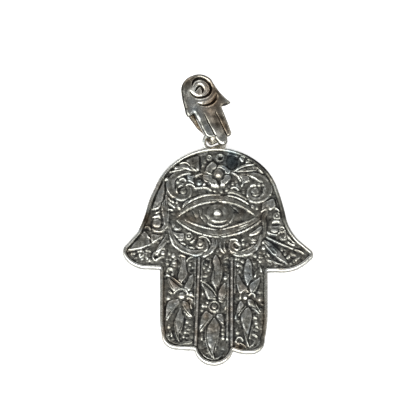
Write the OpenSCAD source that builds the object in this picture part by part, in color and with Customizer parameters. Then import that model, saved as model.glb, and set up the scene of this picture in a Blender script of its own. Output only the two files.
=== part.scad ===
// Hamsa pendant of cast, oxidised silver, lying on its flat back, with a small hamsa as its bail.
// +Y runs from the fingers to the bail and +Z out of the ornamented front.
// The origin is on the flat back, under the pupil of the eye.

/* [Hand] */
// Width of the hand, from thumb tip to thumb tip
hand_w = 38; // [30:0.5:46]
// Height of the hand, from the top of the palm to the middle fingertip
hand_h = 44.5; // [36:0.5:54]
// Thickness of the sunk field between the ornaments
field_t = 1.3; // [1:0.05:1.8]
// Height of the polished border above the flat back
rim_t = 2.2; // [2:0.05:3]
// Width of the polished border
rim_w = 0.8; // [0.6:0.05:1]
// Width of the rounded edge on each side of the border's crest
rim_round = 0.2; // [0.1:0.05:0.25]

/* [Relief] */
// Height of the ridges and scrolls above the field
ridge_h = 0.5; // [0.3:0.05:0.7]
// Height of the leaves above the field
leaf_h = 0.28; // [0.15:0.01:0.4]
// Height of the bars between the fingers above the field
bar_h = 0.6; // [0.4:0.05:0.75]

/* [Ring] */
// Thickness of the wire of the soldered ring
ring_wire = 0.9; // [0.7:0.05:1.1]
// Diameter of the hole in the ring
ring_hole = 3.2; // [3:0.1:3.8]
// Height of the ring's wire where it is soldered to the hand
ring_seat = 1.25; // [1:0.05:1.4]
// Angle at which the ring rises from the hand
ring_rise = 13; // [10:1:18]

/* [Bail] */
// Width of the small hand, from thumb tip to thumb tip
bail_w = 9.8; // [8:0.1:12]
// Height of the small hand
bail_h = 15.1; // [13:0.1:18]
// Thickness of the small hand
bail_t = 1; // [0.8:0.05:1.2]
// Thickness of the strap behind the small hand
strap_t = 0.7; // [0.5:0.05:0.9]
// Width of the strap where the chain runs through it
strap_w = 6.2; // [5:0.1:7]
// Width of the strap where it passes through the ring
tongue_w = 1.8; // [1.4:0.1:2]
// Room for the chain between the legs of the strap
chain_room = 3.2; // [2.5:0.1:4]
// Room on each side of the ring's wire inside the strap
wire_room = 0.75; // [0.6:0.05:0.9]
// Depth of the spiral and of the lines between the small fingers
groove_d = 0.3; // [0.15:0.05:0.4]
// Width of the spiral's groove
groove_w = 0.5; // [0.3:0.05:0.7]
// Width of the lines between the small fingers
line_w = 0.4; // [0.3:0.05:0.6]
// Turn of the bail to the left, seen from the front
bail_turn = 23.9; // [10:1:40]
// Angle at which the bail's upper end rises
bail_rise = 8.5; // [6:0.5:11]
// Angle at which the bail's face leans to the right
bail_lean = 12; // [8:1:14]

/* [Hidden] */
$fn = 48;
// Depth to which raised work is sunk into what carries it, and cuts reach past it
overlap = 0.1;
// Distance of the border's foot inside the hand's wall
border_in = 0.025;
// Length of the straight pieces that stand for the arcs of the hand's edge and of the small hand's
hand_pace = 1.6;
bail_pace = 0.8;
// Rise under which an arc of a ridge is too flat to be part of a disc
flat_rise = 0.02;

// Places on the hand are counted in steps from the pupil: 190 to its width and 217 to its height.
step_x = hand_w / 190;
step_y = hand_h / 217;
step = sqrt(step_x * step_y);

// Places on the small hand are counted in steps from the spiral: 49 to its width and 75 to its height.
bail_x = bail_w / 49;
bail_y = bail_h / 75;

// Edge of the hand: knot x, knot y, then a point midway to the next knot, x, y
EDGE = [
    [0, 67, 24, 62.5],
    [44, 51, 55, 39],
    [61.5, 26, 66.5, 11],
    [70, -3, 74.5, -15],
    [84, -27, 89.5, -31.5],
    [95, -36, 97.1, -40.3],
    [94, -45, 79, -55],
    [60, -57, 55.8, -57],
    [51.5, -57, 51.5, -78],
    [51.5, -100, 50.7, -112],
    [48.5, -124, 44.2, -135],
    [34, -138.5, 25, -138],
    [17, -135.5, -2.5, -150],
    [-21.5, -135, -30, -134.6],
    [-39, -134, -50, -129.5],
    [-54.3, -118, -55.6, -109],
    [-56, -100, -56, -78],
    [-56, -54.5, -64, -54.3],
    [-72, -54, -83, -50.5],
    [-91, -43.5, -92.9, -38],
    [-91.5, -32, -85, -25],
    [-78, -17, -73.5, -7],
    [-70, 3, -66.5, 15],
    [-61, 27, -54.5, 39.5],
    [-44, 51, -24, 62.6]
];

// Lids and iris of the eye: start x, y, middle x, y, end x, y, width at the middle
EYE = [
    [-30, 11, 0, 19.2, 33, 10, 2.4],
    [-39, -3, 2, 13.2, 43, -3.5, 2.4],
    [-32, -5.5, 3, -15.5, 40, -4, 2.2],
    [-39, -4, 4, -22.2, 44, -5, 2.4],
    [24, -12.5, 31, -9.8, 38, -7.2, 1.4],
    [-16, 4, -2, -12, 16, 0, 2.4],
    [-6, -3, 2, -6.8, 12, -5, 2]
];

// Scrolls and small ridges of the palm, in the columns of EYE
SCROLLS = [
    [-49.5, 33, -47.5, 24.5, -41, 17.5, 3],
    [-41, 17.5, -32.5, 14.7, -26.5, 17.5, 2.6],
    [-26.5, 17.5, -24.6, 22, -26, 27, 2],
    [-38.3, 24, -38.8, 26.5, -37, 28, 1.6],
    [-37, 27.7, -34.5, 29, -32, 29.2, 1.8],
    [-29.5, 28.7, -26.5, 30, -21.5, 27.3, 2.1],
    [-13, 27, -9.5, 27, -5, 24, 1.6],
    [34, 14.5, 42, 11.2, 54, 19, 2.6],
    [54, 19, 55.8, 25, 54.5, 32.5, 2.2],
    [32.5, 24, 33.2, 17.5, 36, 14, 2],
    [35, 27, 37.5, 29, 41, 29, 2],
    [37, 19.7, 40, 19.2, 43.5, 20.3, 1.6],
    [50.5, 38.5, 53, 35.5, 54.5, 32.5, 2],
    [15, 25.3, 19, 26.7, 24, 23.5, 1.8],
    [-47, 11.5, -44, 9.5, -40, 6.2, 1.8],
    [-39.5, 12.5, -37.5, 11.7, -35.5, 11.8, 1.8],
    [-40.5, -12.5, -37.5, -15, -34, -13.3, 1.8],
    [-64, 5.7, -59, 6.7, -55, 12, 2.4],
    [-60, 1.5, -57, 2.6, -54.5, 3.8, 1.8],
    [-62.5, -3, -58, -1, -54, -5, 3.4],
    [-64, -13, -57, -17.2, -50, -14, 2.4],
    [-50, -14, -47.8, -8, -48.5, 0, 2],
    [-48.5, 0, -50.2, 10, -51, 20, 1.8],
    [45.5, 3, 48.5, 4.5, 51.8, 6.3, 2],
    [59.5, 6.7, 61.7, 5.3, 63, 3, 1.6],
    [56.3, -8.3, 60, -5.5, 63.7, -7.6, 2.4],
    [51, -17, 56, -19.3, 62.5, -19.8, 2.2],
    [34.5, -19.7, 39, -18.5, 44, -16, 2.4],
    [-45, -20, -41, -31, -33, -37, 2.2],
    [-33, -37, -20, -41, -9, -35, 2.8],
    [-9, -35, -6.5, -29, -11, -23.8, 2],
    [-11, -23.8, -16, -23.3, -19.5, -26.5, 1.6],
    [-19.5, -31.3, -16, -33.3, -11.5, -30, 2.2],
    [-34, -28.7, -31.5, -29.5, -29, -29.6, 2],
    [-25, -27, -22.5, -25.6, -19.5, -22.8, 2],
    [-13, -42.5, -4, -36.5, 0.5, -26, 2.2],
    [4.5, -29, 5.8, -34, 8.3, -37.5, 1.6],
    [15, -25.2, 12.3, -32, 16, -39, 2],
    [16, -39, 26, -41.3, 36, -38, 2.8],
    [36, -38, 41.5, -33, 44, -22, 2.2],
    [15, -25.2, 18, -24.6, 22, -26, 1.8],
    [18, -32, 21.7, -34.6, 24.5, -32.5, 2.2],
    [25, -36, 28, -36.2, 31.5, -34.5, 1.8],
    [25.5, -26.3, 27.5, -25.5, 29.5, -23.8, 2],
    [35, -27.7, 38, -28.4, 41, -28.5, 2]
];

// Ridges of the upper leaves and of the two thumbs, in the columns of EYE
LEAF_RIDGES = [
    [-36, 51, -28, 50, -19, 43.2, 2.2],
    [-42, 43.5, -36, 45.2, -29, 45.5, 2.2],
    [-38, 36.5, -31, 39.2, -24, 40.7, 2.2],
    [-19, 38.3, -16, 40, -13, 41, 2],
    [-27, 34.5, -24, 33, -22, 30.3, 2.2],
    [18, 43, 29, 48.6, 41, 50.3, 2.4],
    [41.5, 50, 46, 46.8, 49, 41.5, 2],
    [33.5, 38.5, 39, 36.1, 45, 32.7, 2.2],
    [16, 41.5, 21, 40, 24.5, 36, 2.2],
    [26.5, 28, 29.5, 30.5, 33.5, 33.5, 2.2],
    [-87, -35.5, -76, -33.9, -66, -30.3, 2.4],
    [-66, -30.3, -59, -26.2, -52.5, -22.3, 2.4],
    [-49, -27, -56, -35.5, -60.8, -46, 2.6],
    [-60.5, -46.3, -56, -43.6, -51, -42.5, 2],
    [-69, -20, -67, -22, -65.3, -24.7, 1.6],
    [48, -22, 64, -28.9, 78, -34.3, 2.4],
    [79, -35, 84, -36.8, 88, -39.5, 2],
    [47.5, -28.3, 56, -38.5, 71, -48.7, 2.4],
    [50, -38, 52, -39.7, 53.5, -42, 2.2],
    [56, -46.3, 62, -49, 67.5, -50.5, 2.2]
];

// Ridges of the fingers, in the columns of EYE
FINGER_RIDGES = [
    [-35.5, -41.6, -32.5, -41, -29.8, -43.7, 1.8],
    [-28.7, -46.5, -26, -43.3, -22.5, -42, 2],
    [-41, -78.8, -34, -74.5, -27.5, -80, 2.2],
    [-35.5, -88.5, -42, -96.5, -48.5, -105.5, 2.4],
    [-33, -90, -28, -97, -21.5, -102.5, 2.4],
    [-44.5, -104, -43.5, -116, -39.5, -126.5, 1.4],
    [-31, -101, -32.3, -116, -35, -127.5, 1.4],
    [-4.5, -43, -4.8, -48, -5.5, -52.5, 1.4],
    [-6, -84.7, -2.5, -83.8, 1, -84.7, 1.6],
    [-1, -101.5, -9.5, -108.5, -15, -115.5, 2.4],
    [0.5, -102, 4, -106.2, 8, -109.3, 2],
    [-14.3, -136.5, -7, -143.3, 4.5, -142.5, 2],
    [-13, -118, -11, -130, -7.5, -139, 1.4],
    [43.2, -51, 44.6, -53.5, 45.2, -56.5, 1.8],
    [41, -58, 40.2, -60, 39, -62, 1.8],
    [24.4, -79, 24.7, -81.5, 24.8, -84, 1.8],
    [25, -78, 30, -75.3, 36, -79.5, 2],
    [29, -90.5, 22, -98, 19.3, -104.5, 2],
    [35, -92.5, 39.5, -95.6, 43, -98.5, 2.2],
    [23, -129.5, 27, -130.2, 30.5, -132.5, 1.8],
    [33.5, -131.7, 36, -130.7, 38, -128.5, 1.8]
];

// Leaves, lower than the ridges: base x, y, tip x, y, width
LEAVES = [
    [-14, 42, -36, 51, 5],
    [-15, 41, -43, 43.5, 4.5],
    [-14, 40, -38.5, 36, 4],
    [17, 42.5, 48, 46.5, 6.5],
    [18, 41, 47, 33.5, 6],
    [-24, 56, -20, 45, 8],
    [-50, -21, -85, -36.5, 5],
    [-48, -25, -61, -43, 6],
    [47, -22.5, 86, -39.5, 5],
    [48, -26, 72, -48, 6],
    [-33, -41.5, -32.3, -67, 9.4],
    [-47, -63, -35, -76, 7],
    [-22.5, -60, -30, -77, 6],
    [-34.7, -94, -35.7, -127, 9.4],
    [0, -40, 0, -77, 10],
    [-12, -70, -1, -83, 6.5],
    [11, -69, 4.5, -84, 6.5],
    [-2.5, -102, -2, -143, 12],
    [33, -44, 31.6, -69.5, 9],
    [20.5, -60, 25.5, -79, 5.5],
    [45, -62, 36, -80, 7],
    [31.5, -94, 33, -131.5, 9.8],
    [2.5, -25, 2.5, -38, 3]
];

// Beads, petals and bosses: x, y, radius
BEADS = [
    [2.8, 40.5, 3.8], [-5.5, 48, 5], [8, 47, 4.6], [12.5, 37.5, 4.2],
    [7, 30, 4], [-1.5, 29.5, 4], [-8.5, 35.5, 4.4], [1.5, 1.5, 4.8],
    [-32, 23, 4], [38.5, 23.5, 4], [-60, -9, 4.6], [-35, -22.5, 4.2],
    [-11, 53, 1.8], [-4.5, 60, 1.6], [-49, 35.7, 2.2], [43.5, 29.5, 1.5],
    [50, 27, 1.6], [-12, 30, 1.6], [-15.5, 32, 1.4], [10.8, 24.6, 1.9],
    [21.5, 29.5, 1.9], [17.5, 32, 1.3], [28, 21.5, 1.5], [5, 23, 1.4],
    [37, 7.5, 1.8], [-18, 26.3, 1.8], [-35.5, 7, 1.6], [-42.5, -10.5, 1.5],
    [60.5, 0.8, 1.5], [2.2, -36, 1.5], [4.5, -40.3, 1.6], [28.5, -29.3, 1.4],
    [32, -30, 1.5], [-47.5, -26.3, 1.6], [48.3, -28, 1.8],
    [-74.8, -37.5, 1.8], [-67.3, -35.9, 2], [-83, -39.2, 1.3], [-79.2, -43.2, 1.6],
    [-69.5, -41, 1.4], [-65.4, -46.2, 2], [-73.5, -44.5, 1.4],
    [66.5, -36, 1.8], [70, -40.2, 1.8], [72.8, -43, 1.7], [78, -39.9, 2],
    [85.3, -42.5, 1.4], [81, -45.5, 1.6], [76, -48, 1.8],
    [-41, -48.5, 2], [-42, -41.6, 1.8], [-46.5, -44.3, 1.6], [-47.5, -49, 1.5],
    [-50.5, -36.8, 1.6], [-25, -50.5, 1.6], [-24, -57.5, 1.4], [-23.8, -54, 1.2],
    [-33.5, -83.3, 2.4], [-46, -83, 2.1], [-23.5, -80, 2],
    [-47.3, -112, 1.9], [-46.8, -119, 1.8], [-41.8, -130, 1.4],
    [-28, -107, 1.8], [-28.6, -112, 1.5], [-26.6, -115.5, 1.6], [-28.3, -122, 1.8],
    [-12.5, -45.8, 1.7], [-8.5, -50, 1.9], [-11, -53.5, 1.5], [-8.3, -57, 1.6],
    [-9.5, -61.4, 1.6], [-10.5, -66, 1.8], [10.7, -43.3, 2], [11, -48, 1.5],
    [10.7, -54, 1.8], [10.3, -62, 1.9], [-9.5, -87, 1.7], [5.8, -87, 1.8],
    [-1.8, -91.3, 3], [-11.6, -92, 2.4], [9, -92.3, 2],
    [8.2, -118.3, 1.5], [8.2, -123.2, 1.5], [7.6, -138, 1.8],
    [26, -48.2, 1.8], [21.8, -51.4, 2], [22, -55.6, 1.5], [20.8, -46.8, 1.4],
    [40, -42.8, 1.6], [40.5, -47.5, 1.5], [44.5, -46.8, 1.4],
    [29.5, -83, 1.9], [44, -78, 1.5], [44.4, -84.4, 1.4],
    [22.3, -116, 2.1], [23.3, -124.3, 2.1], [41.8, -102.8, 1.8], [41.9, -108.4, 1.8],
    [41.5, -113.6, 1.4], [40.4, -120.7, 1.7]
];

// Rings round a boss: x, y, middle radius, width
COLLARS = [
    [2.8, 40.5, 5.8, 1.5],
    [38.5, 23.5, 6.5, 1.5],
    [-32, 23, 6.2, 1.3],
    [-26, -20.5, 2.4, 1.2],
    [5, 57.8, 2.8, 1.4],
    [-1.8, -91.3, 5.6, 1.8]
];

// Bars between the fingers: top x, y, top width, bottom x, y, bottom width
BARS = [
    [-17, -43.5, 2.4, -21.4, -131.5, 4],
    [15.6, -43.5, 2.8, 18, -133.5, 3.4]
];

// Edge of the small hand, in the columns of EDGE
BAIL_EDGE = [
    [-1, 16.6, 8, 14.4],
    [15.5, 6, 18, -8],
    [22, -18, 23.5, -20.5],
    [24.5, -23, 19, -23.5],
    [13.6, -22.5, 13.2, -37],
    [12.4, -50.5, 10, -53],
    [7, -52.5, 6.2, -54],
    [5, -57.5, 0, -59.4],
    [-4.5, -54.5, -5.2, -52],
    [-6, -48, -10, -47.6],
    [-13.8, -43, -14.6, -31],
    [-15.2, -19, -18.5, -20],
    [-22.5, -20, -23, -17],
    [-22, -11, -20, 0],
    [-17.5, 8, -11, 14.6]
];

// Upper and lower end of the strap's loop, in steps of the small hand
STRAP_ENDS = [12, -54.5];

// Tongue of the strap, which passes through the ring: x of its middle, y where it leaves the wide strap
TONGUE = [-5.6, -40];

// Edges of the strap, narrow at its top: y in steps of the small hand, then its left and right edge as shares of strap_w
STRAP_EDGE = [
    [12, -0.25, 0.26],
    [4, -0.4, 0.38],
    [-6, -0.47, 0.42],
    [-20, -0.52, 0.36],
    [-33, -0.43, 0.12]
];

// Lines between the small fingers: top x, y, bottom x, y
SMALL_LINES = [
    [-5.8, -24, -4.6, -47],
    [6.4, -26.5, 6.2, -51]
];

// Half turns of the small hand's spiral: radius, x of the centre, 1 for the upper half or -1 for the lower
SPIRAL = [
    [4, 0, 1],
    [6, -2, -1],
    [8.5, 0.5, 1],
    [11, -2, -1],
    [13, 0, 1]
];

function place(x, y) = [x * step_x, y * step_y];
function small_place(x, y) = [x * bail_x, y * bail_y];

// Centre of the circle through three points
function centre_of(a, b, c) =
    let (p = b - a, q = c - a, d = 2 * (p[0] * q[1] - p[1] * q[0]))
    a + [q[1] * (p * p) - p[1] * (q * q), p[0] * (q * q) - q[0] * (p * p)] / d;

// Distance of a point from the line a to b, positive to its left
function left_of(a, b, p) =
    ((b[0] - a[0]) * (p[1] - a[1]) - (b[1] - a[1]) * (p[0] - a[0])) / norm(b - a);

// Points on the arc from a by b to c, without c, about one for every length of pace
function arc_points(a, b, c, pace) =
    abs(left_of(a, c, b)) < norm(c - a) / 200 ? [a] :
    let (
        o = centre_of(a, b, c),
        r = norm(a - o),
        a0 = atan2(a[1] - o[1], a[0] - o[0]),
        raw = atan2(c[1] - o[1], c[0] - o[0]) - a0,
        turn = left_of(a, c, b) < 0 ? (raw < 0 ? raw + 360 : raw) : (raw > 0 ? raw - 360 : raw),
        n = max(2, ceil(abs(turn) * PI / 180 * r / pace))
    )
    [for (i = [0:n - 1]) o + r * [cos(a0 + turn * i / n), sin(a0 + turn * i / n)]];

// Closed outline through a table of knots, with an arc from each knot to the next
function outline(rows, sx, sy, pace) = [
    for (i = [0:len(rows) - 1])
        let (a = rows[i], b = rows[(i + 1) % len(rows)])
        each arc_points([a[0] * sx, a[1] * sy], [a[2] * sx, a[3] * sy], [b[0] * sx, b[1] * sy], pace)
];

module hand_edge(inset = 0) {
    offset(delta = -inset) polygon(outline(EDGE, step_x, step_y, hand_pace));
}

// Sides of a disc, ten to each millimetre of its radius within limits
function disc_sides(r) = min(256, max(32, ceil(r * 10)));

// Disc through two end points and a point midway
module disc_through(a, b, c) {
    o = centre_of(a, b, c);
    r = norm(a - o);
    translate(o) circle(r, $fn = disc_sides(r));
}

// Ridge that tapers to both ends: the space between two arcs that share their end points
module ridge(row) {
    a = place(row[0], row[1]);
    m = place(row[2], row[3]);
    c = place(row[4], row[5]);
    side = left_of(a, c, m) < 0 ? -1 : 1;
    out = side * [a[1] - c[1], c[0] - a[0]] / norm(c - a);
    half = row[6] * step / 2;
    rise = abs(left_of(a, c, m));
    low = abs(rise - half) < flat_rise ? rise - half + 2 * flat_rise : rise - half;
    if (low > 0)
        difference() {
            disc_through(a, m + half * out, c);
            disc_through(a, m + (low - rise) * out, c);
        }
    else
        intersection() {
            disc_through(a, m + half * out, c);
            disc_through(a, m + (low - rise) * out, c);
        }
}

// Leaf with two equal sides, from its base to its tip
module leaf(row) {
    a = place(row[0], row[1]);
    c = place(row[2], row[3]);
    m = (a + c) / 2;
    across = [a[1] - c[1], c[0] - a[0]] / norm(c - a) * row[4] * step / 2;
    intersection() {
        disc_through(a, m + across, c);
        disc_through(a, m - across, c);
    }
}

module bead(row) {
    translate(concat(place(row[0], row[1]), [field_t])) sphere(row[2] * step, $fn = 24);
}

module collar(row) {
    translate(place(row[0], row[1]))
        difference() {
            circle((row[2] + row[3] / 2) * step);
            circle((row[2] - row[3] / 2) * step);
        }
}

module bar(row) {
    top = place(row[0], row[1]);
    foot = place(row[3], row[4]);
    half_top = [row[2] * step_x / 2, 0];
    half_foot = [row[5] * step_x / 2, 0];
    polygon([top + half_top, top - half_top, foot - half_foot, foot + half_foot]);
}

module raised(height) {
    translate([0, 0, field_t - overlap]) linear_extrude(height + overlap) children();
}

module border() {
    raised(rim_t - rim_round - field_t)
        difference() {
            hand_edge(border_in);
            hand_edge(rim_w);
        }
    raised(rim_t - field_t)
        difference() {
            hand_edge(rim_round);
            hand_edge(rim_w - rim_round);
        }
}

// Place on the hand's upper edge over which the ring stands
RING_FOOT = [-1.7, 67];

// The ring's centre stands above that place by a share of the ring's hole
ring_show = 0.36;
ring_r = (ring_hole + ring_wire) / 2;
ring_at = place(RING_FOOT[0], RING_FOOT[1]) + [0, ring_hole * ring_show];

module soldered_ring() {
    translate([ring_at[0], ring_at[1] - ring_r, ring_seat])
        rotate([ring_rise, 0, 0])
            translate([0, ring_r, 0])
                rotate_extrude() translate([ring_r, 0]) circle(ring_wire / 2, $fn = 24);
}

module hand_plate() {
    color("silver") {
        linear_extrude(field_t) hand_edge();
        border();
        for (row = EYE) raised(ridge_h) ridge(row);
        for (row = SCROLLS) raised(ridge_h) ridge(row);
        for (row = LEAF_RIDGES) raised(ridge_h) ridge(row);
        for (row = FINGER_RIDGES) raised(ridge_h) ridge(row);
        for (row = LEAVES) raised(leaf_h) leaf(row);
        for (row = COLLARS) raised(ridge_h) collar(row);
        for (row = BARS) raised(bar_h) bar(row);
        for (row = BEADS) bead(row);
        soldered_ring();
    }
}

// The strap is a loop of one thickness, deeper where the chain runs than where the ring's wire lies.
// Its front leg is sunk into the small hand, strap_in below the hand's face.
strap_in = 0.15;
top_r = chain_room / 2 + strap_t;
foot_r = ring_wire / 2 + wire_room + strap_t;
strap_top_y = STRAP_ENDS[0] * bail_y - top_r;
strap_foot_y = STRAP_ENDS[1] * bail_y + foot_r;
tongue_x = TONGUE[0] * bail_x;
tongue_y = TONGUE[1] * bail_y;

module strap_side(inset) {
    hull() {
        translate([strap_top_y, -strap_in - top_r]) circle(top_r - inset);
        translate([strap_foot_y, -strap_in - foot_r]) circle(foot_r - inset);
    }
}

// Loop of the strap, wider than the strap, which its front view then trims
module strap_loop() {
    rotate([90, 0, 90])
        linear_extrude(2 * strap_w, center = true)
            difference() {
                strap_side(0);
                strap_side(strap_t);
            }
}

// Front view of the strap, drawn past both ends of its loop
module strap_front_view() {
    far_y = strap_top_y + 2 * top_r;
    end_y = strap_foot_y - 2 * foot_r;
    polygon(concat(
        [[STRAP_EDGE[0][1] * strap_w, far_y]],
        [for (r = STRAP_EDGE) [r[1] * strap_w, r[0] * bail_y]],
        [[tongue_x - tongue_w / 2, tongue_y], [tongue_x - tongue_w / 2, end_y]],
        [[tongue_x + tongue_w / 2, end_y], [tongue_x + tongue_w / 2, tongue_y]],
        [for (i = [len(STRAP_EDGE) - 1:-1:0]) [STRAP_EDGE[i][2] * strap_w, STRAP_EDGE[i][0] * bail_y]],
        [[STRAP_EDGE[0][2] * strap_w, far_y]]
    ));
}

module strap() {
    intersection() {
        strap_loop();
        translate([0, 0, -4 * top_r]) linear_extrude(4 * top_r) strap_front_view();
    }
}

module spiral_groove() {
    for (row = SPIRAL)
        translate([row[1] * bail_x, 0, -groove_d])
            rotate([0, 0, row[2] > 0 ? 0 : 180])
                rotate_extrude(angle = 180)
                    translate([row[0] * bail_x - groove_w / 2, 0]) square([groove_w, groove_d + overlap]);
}

module small_line(row) {
    a = small_place(row[0], row[1]);
    b = small_place(row[2], row[3]);
    side = [line_w / 2, 0];
    end = [0, line_w / 2];
    translate([0, 0, -groove_d])
        linear_extrude(groove_d + overlap)
            polygon([a + end, a - side, b - side, b - end, b + side, a + side]);
}

module small_hand() {
    difference() {
        translate([0, 0, -bail_t])
            linear_extrude(bail_t) polygon(outline(BAIL_EDGE, bail_x, bail_y, bail_pace));
        spiral_groove();
        for (row = SMALL_LINES) small_line(row);
    }
}

// The middle of the tongue lies in the ring's hole, a little below its centre and a little above its plane
tongue_mid = [tongue_x, strap_foot_y - foot_r + strap_t / 2, -strap_in - foot_r];
tongue_drop = 0.2;
tongue_lift = 0.3;

module bail() {
    color("lightgray")
        translate([ring_at[0], ring_at[1] - tongue_drop, ring_seat + ring_r * sin(ring_rise) + tongue_lift])
            rotate([0, 0, bail_turn])
                rotate([bail_rise, 0, 0])
                    rotate([0, bail_lean, 0])
                        translate(-tongue_mid) {
                            small_hand();
                            strap();
                        }
}

hand_plate();
bail();
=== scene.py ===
"""Looks of a hamsa pendant: a cast, oxidised silver hand in relief, its soldered ring and its bail."""

import logging
import math
from dataclasses import dataclass, field
from enum import Enum, IntEnum
from itertools import product
from typing import Callable, Sequence

import bpy
import numpy as np
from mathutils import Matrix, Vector
from mathutils.geometry import delaunay_2d_cdt


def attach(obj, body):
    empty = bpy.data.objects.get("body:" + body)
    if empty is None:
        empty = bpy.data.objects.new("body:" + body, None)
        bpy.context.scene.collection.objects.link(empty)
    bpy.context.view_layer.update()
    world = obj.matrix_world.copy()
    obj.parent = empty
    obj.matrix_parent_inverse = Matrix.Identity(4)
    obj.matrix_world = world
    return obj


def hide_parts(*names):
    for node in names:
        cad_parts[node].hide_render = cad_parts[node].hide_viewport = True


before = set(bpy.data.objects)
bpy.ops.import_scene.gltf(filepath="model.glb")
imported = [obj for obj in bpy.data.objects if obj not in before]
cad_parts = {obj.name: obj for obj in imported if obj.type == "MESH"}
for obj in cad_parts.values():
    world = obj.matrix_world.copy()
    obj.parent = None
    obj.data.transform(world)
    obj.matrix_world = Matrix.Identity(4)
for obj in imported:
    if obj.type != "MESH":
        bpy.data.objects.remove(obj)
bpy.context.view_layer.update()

logging.basicConfig(level=logging.INFO, format="%(message)s")
log = logging.getLogger("hamsa_pendant")

Array = np.ndarray
Row = Sequence[float]
Window = tuple[slice, slice]
Socket = bpy.types.NodeSocket

MM = 0.001
TINY = 1e-9
TINY_SQUARE = 1e-12
NEARLY_STRAIGHT = 1e-3
LEAST_WIDTH = 1e-3
ARC_POINTS = 160

# Radius in steps above which a bead is the boss of a scroll, and the slope of the shining facets
LARGE_BEAD = 4.5
FACET_LEAN = 0.55

# Patina of the level field and of the back, and the least one of ridges in the palm and in the fingers
FIELD_SHADE = 0.54
BACK_PATINA = 0.35
PALM_DULL = 0.24
FINGER_DULL = 0.34

# Painted shade on the wall, black low and high and grey between: height in mm, and how black
PAINTED_WALL_SHADE = ((0.3, 1), (0.42, 0.3), (0.85, 0.3), (1.05, 1))

# Colours that the tarnish multiplies the metal by
BROWN_TARNISH = (0.78, 0.61, 0.48)
BLUE_TARNISH = (0.5, 0.7, 0.92)

# Edge of the hand: knot x, knot y, then a point midway to the next knot, x, y, in steps from the pupil
HAND_EDGE = (
    (0, 67, 24, 62.5), (44, 51, 55, 39), (61.5, 26, 66.5, 11), (70, -3, 74.5, -15),
    (84, -27, 89.5, -31.5), (95, -36, 97.1, -40.3), (94, -45, 79, -55), (60, -57, 55.8, -57),
    (51.5, -57, 51.5, -78), (51.5, -100, 50.7, -112), (48.5, -124, 44.2, -135), (34, -138.5, 25, -138),
    (17, -135.5, -2.5, -150), (-21.5, -135, -30, -134.6), (-39, -134, -50, -129.5),
    (-54.3, -118, -55.6, -109), (-56, -100, -56, -78), (-56, -54.5, -64, -54.3), (-72, -54, -83, -50.5),
    (-91, -43.5, -92.9, -38), (-91.5, -32, -85, -25), (-78, -17, -73.5, -7), (-70, 3, -66.5, 15),
    (-61, 27, -54.5, 39.5), (-44, 51, -24, 62.6),
)

# Edge of the small hand, in steps from its spiral
SMALL_EDGE = (
    (-1, 16.6, 8, 14.4), (15.5, 6, 18, -8), (22, -18, 23.5, -20.5), (24.5, -23, 19, -23.5),
    (13.6, -22.5, 13.2, -37), (12.4, -50.5, 10, -53), (7, -52.5, 6.2, -54), (5, -57.5, 0, -59.4),
    (-4.5, -54.5, -5.2, -52), (-6, -48, -10, -47.6), (-13.8, -43, -14.6, -31), (-15.2, -19, -18.5, -20),
    (-22.5, -20, -23, -17), (-22, -11, -20, 0), (-17.5, 8, -11, 14.6),
)

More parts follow.
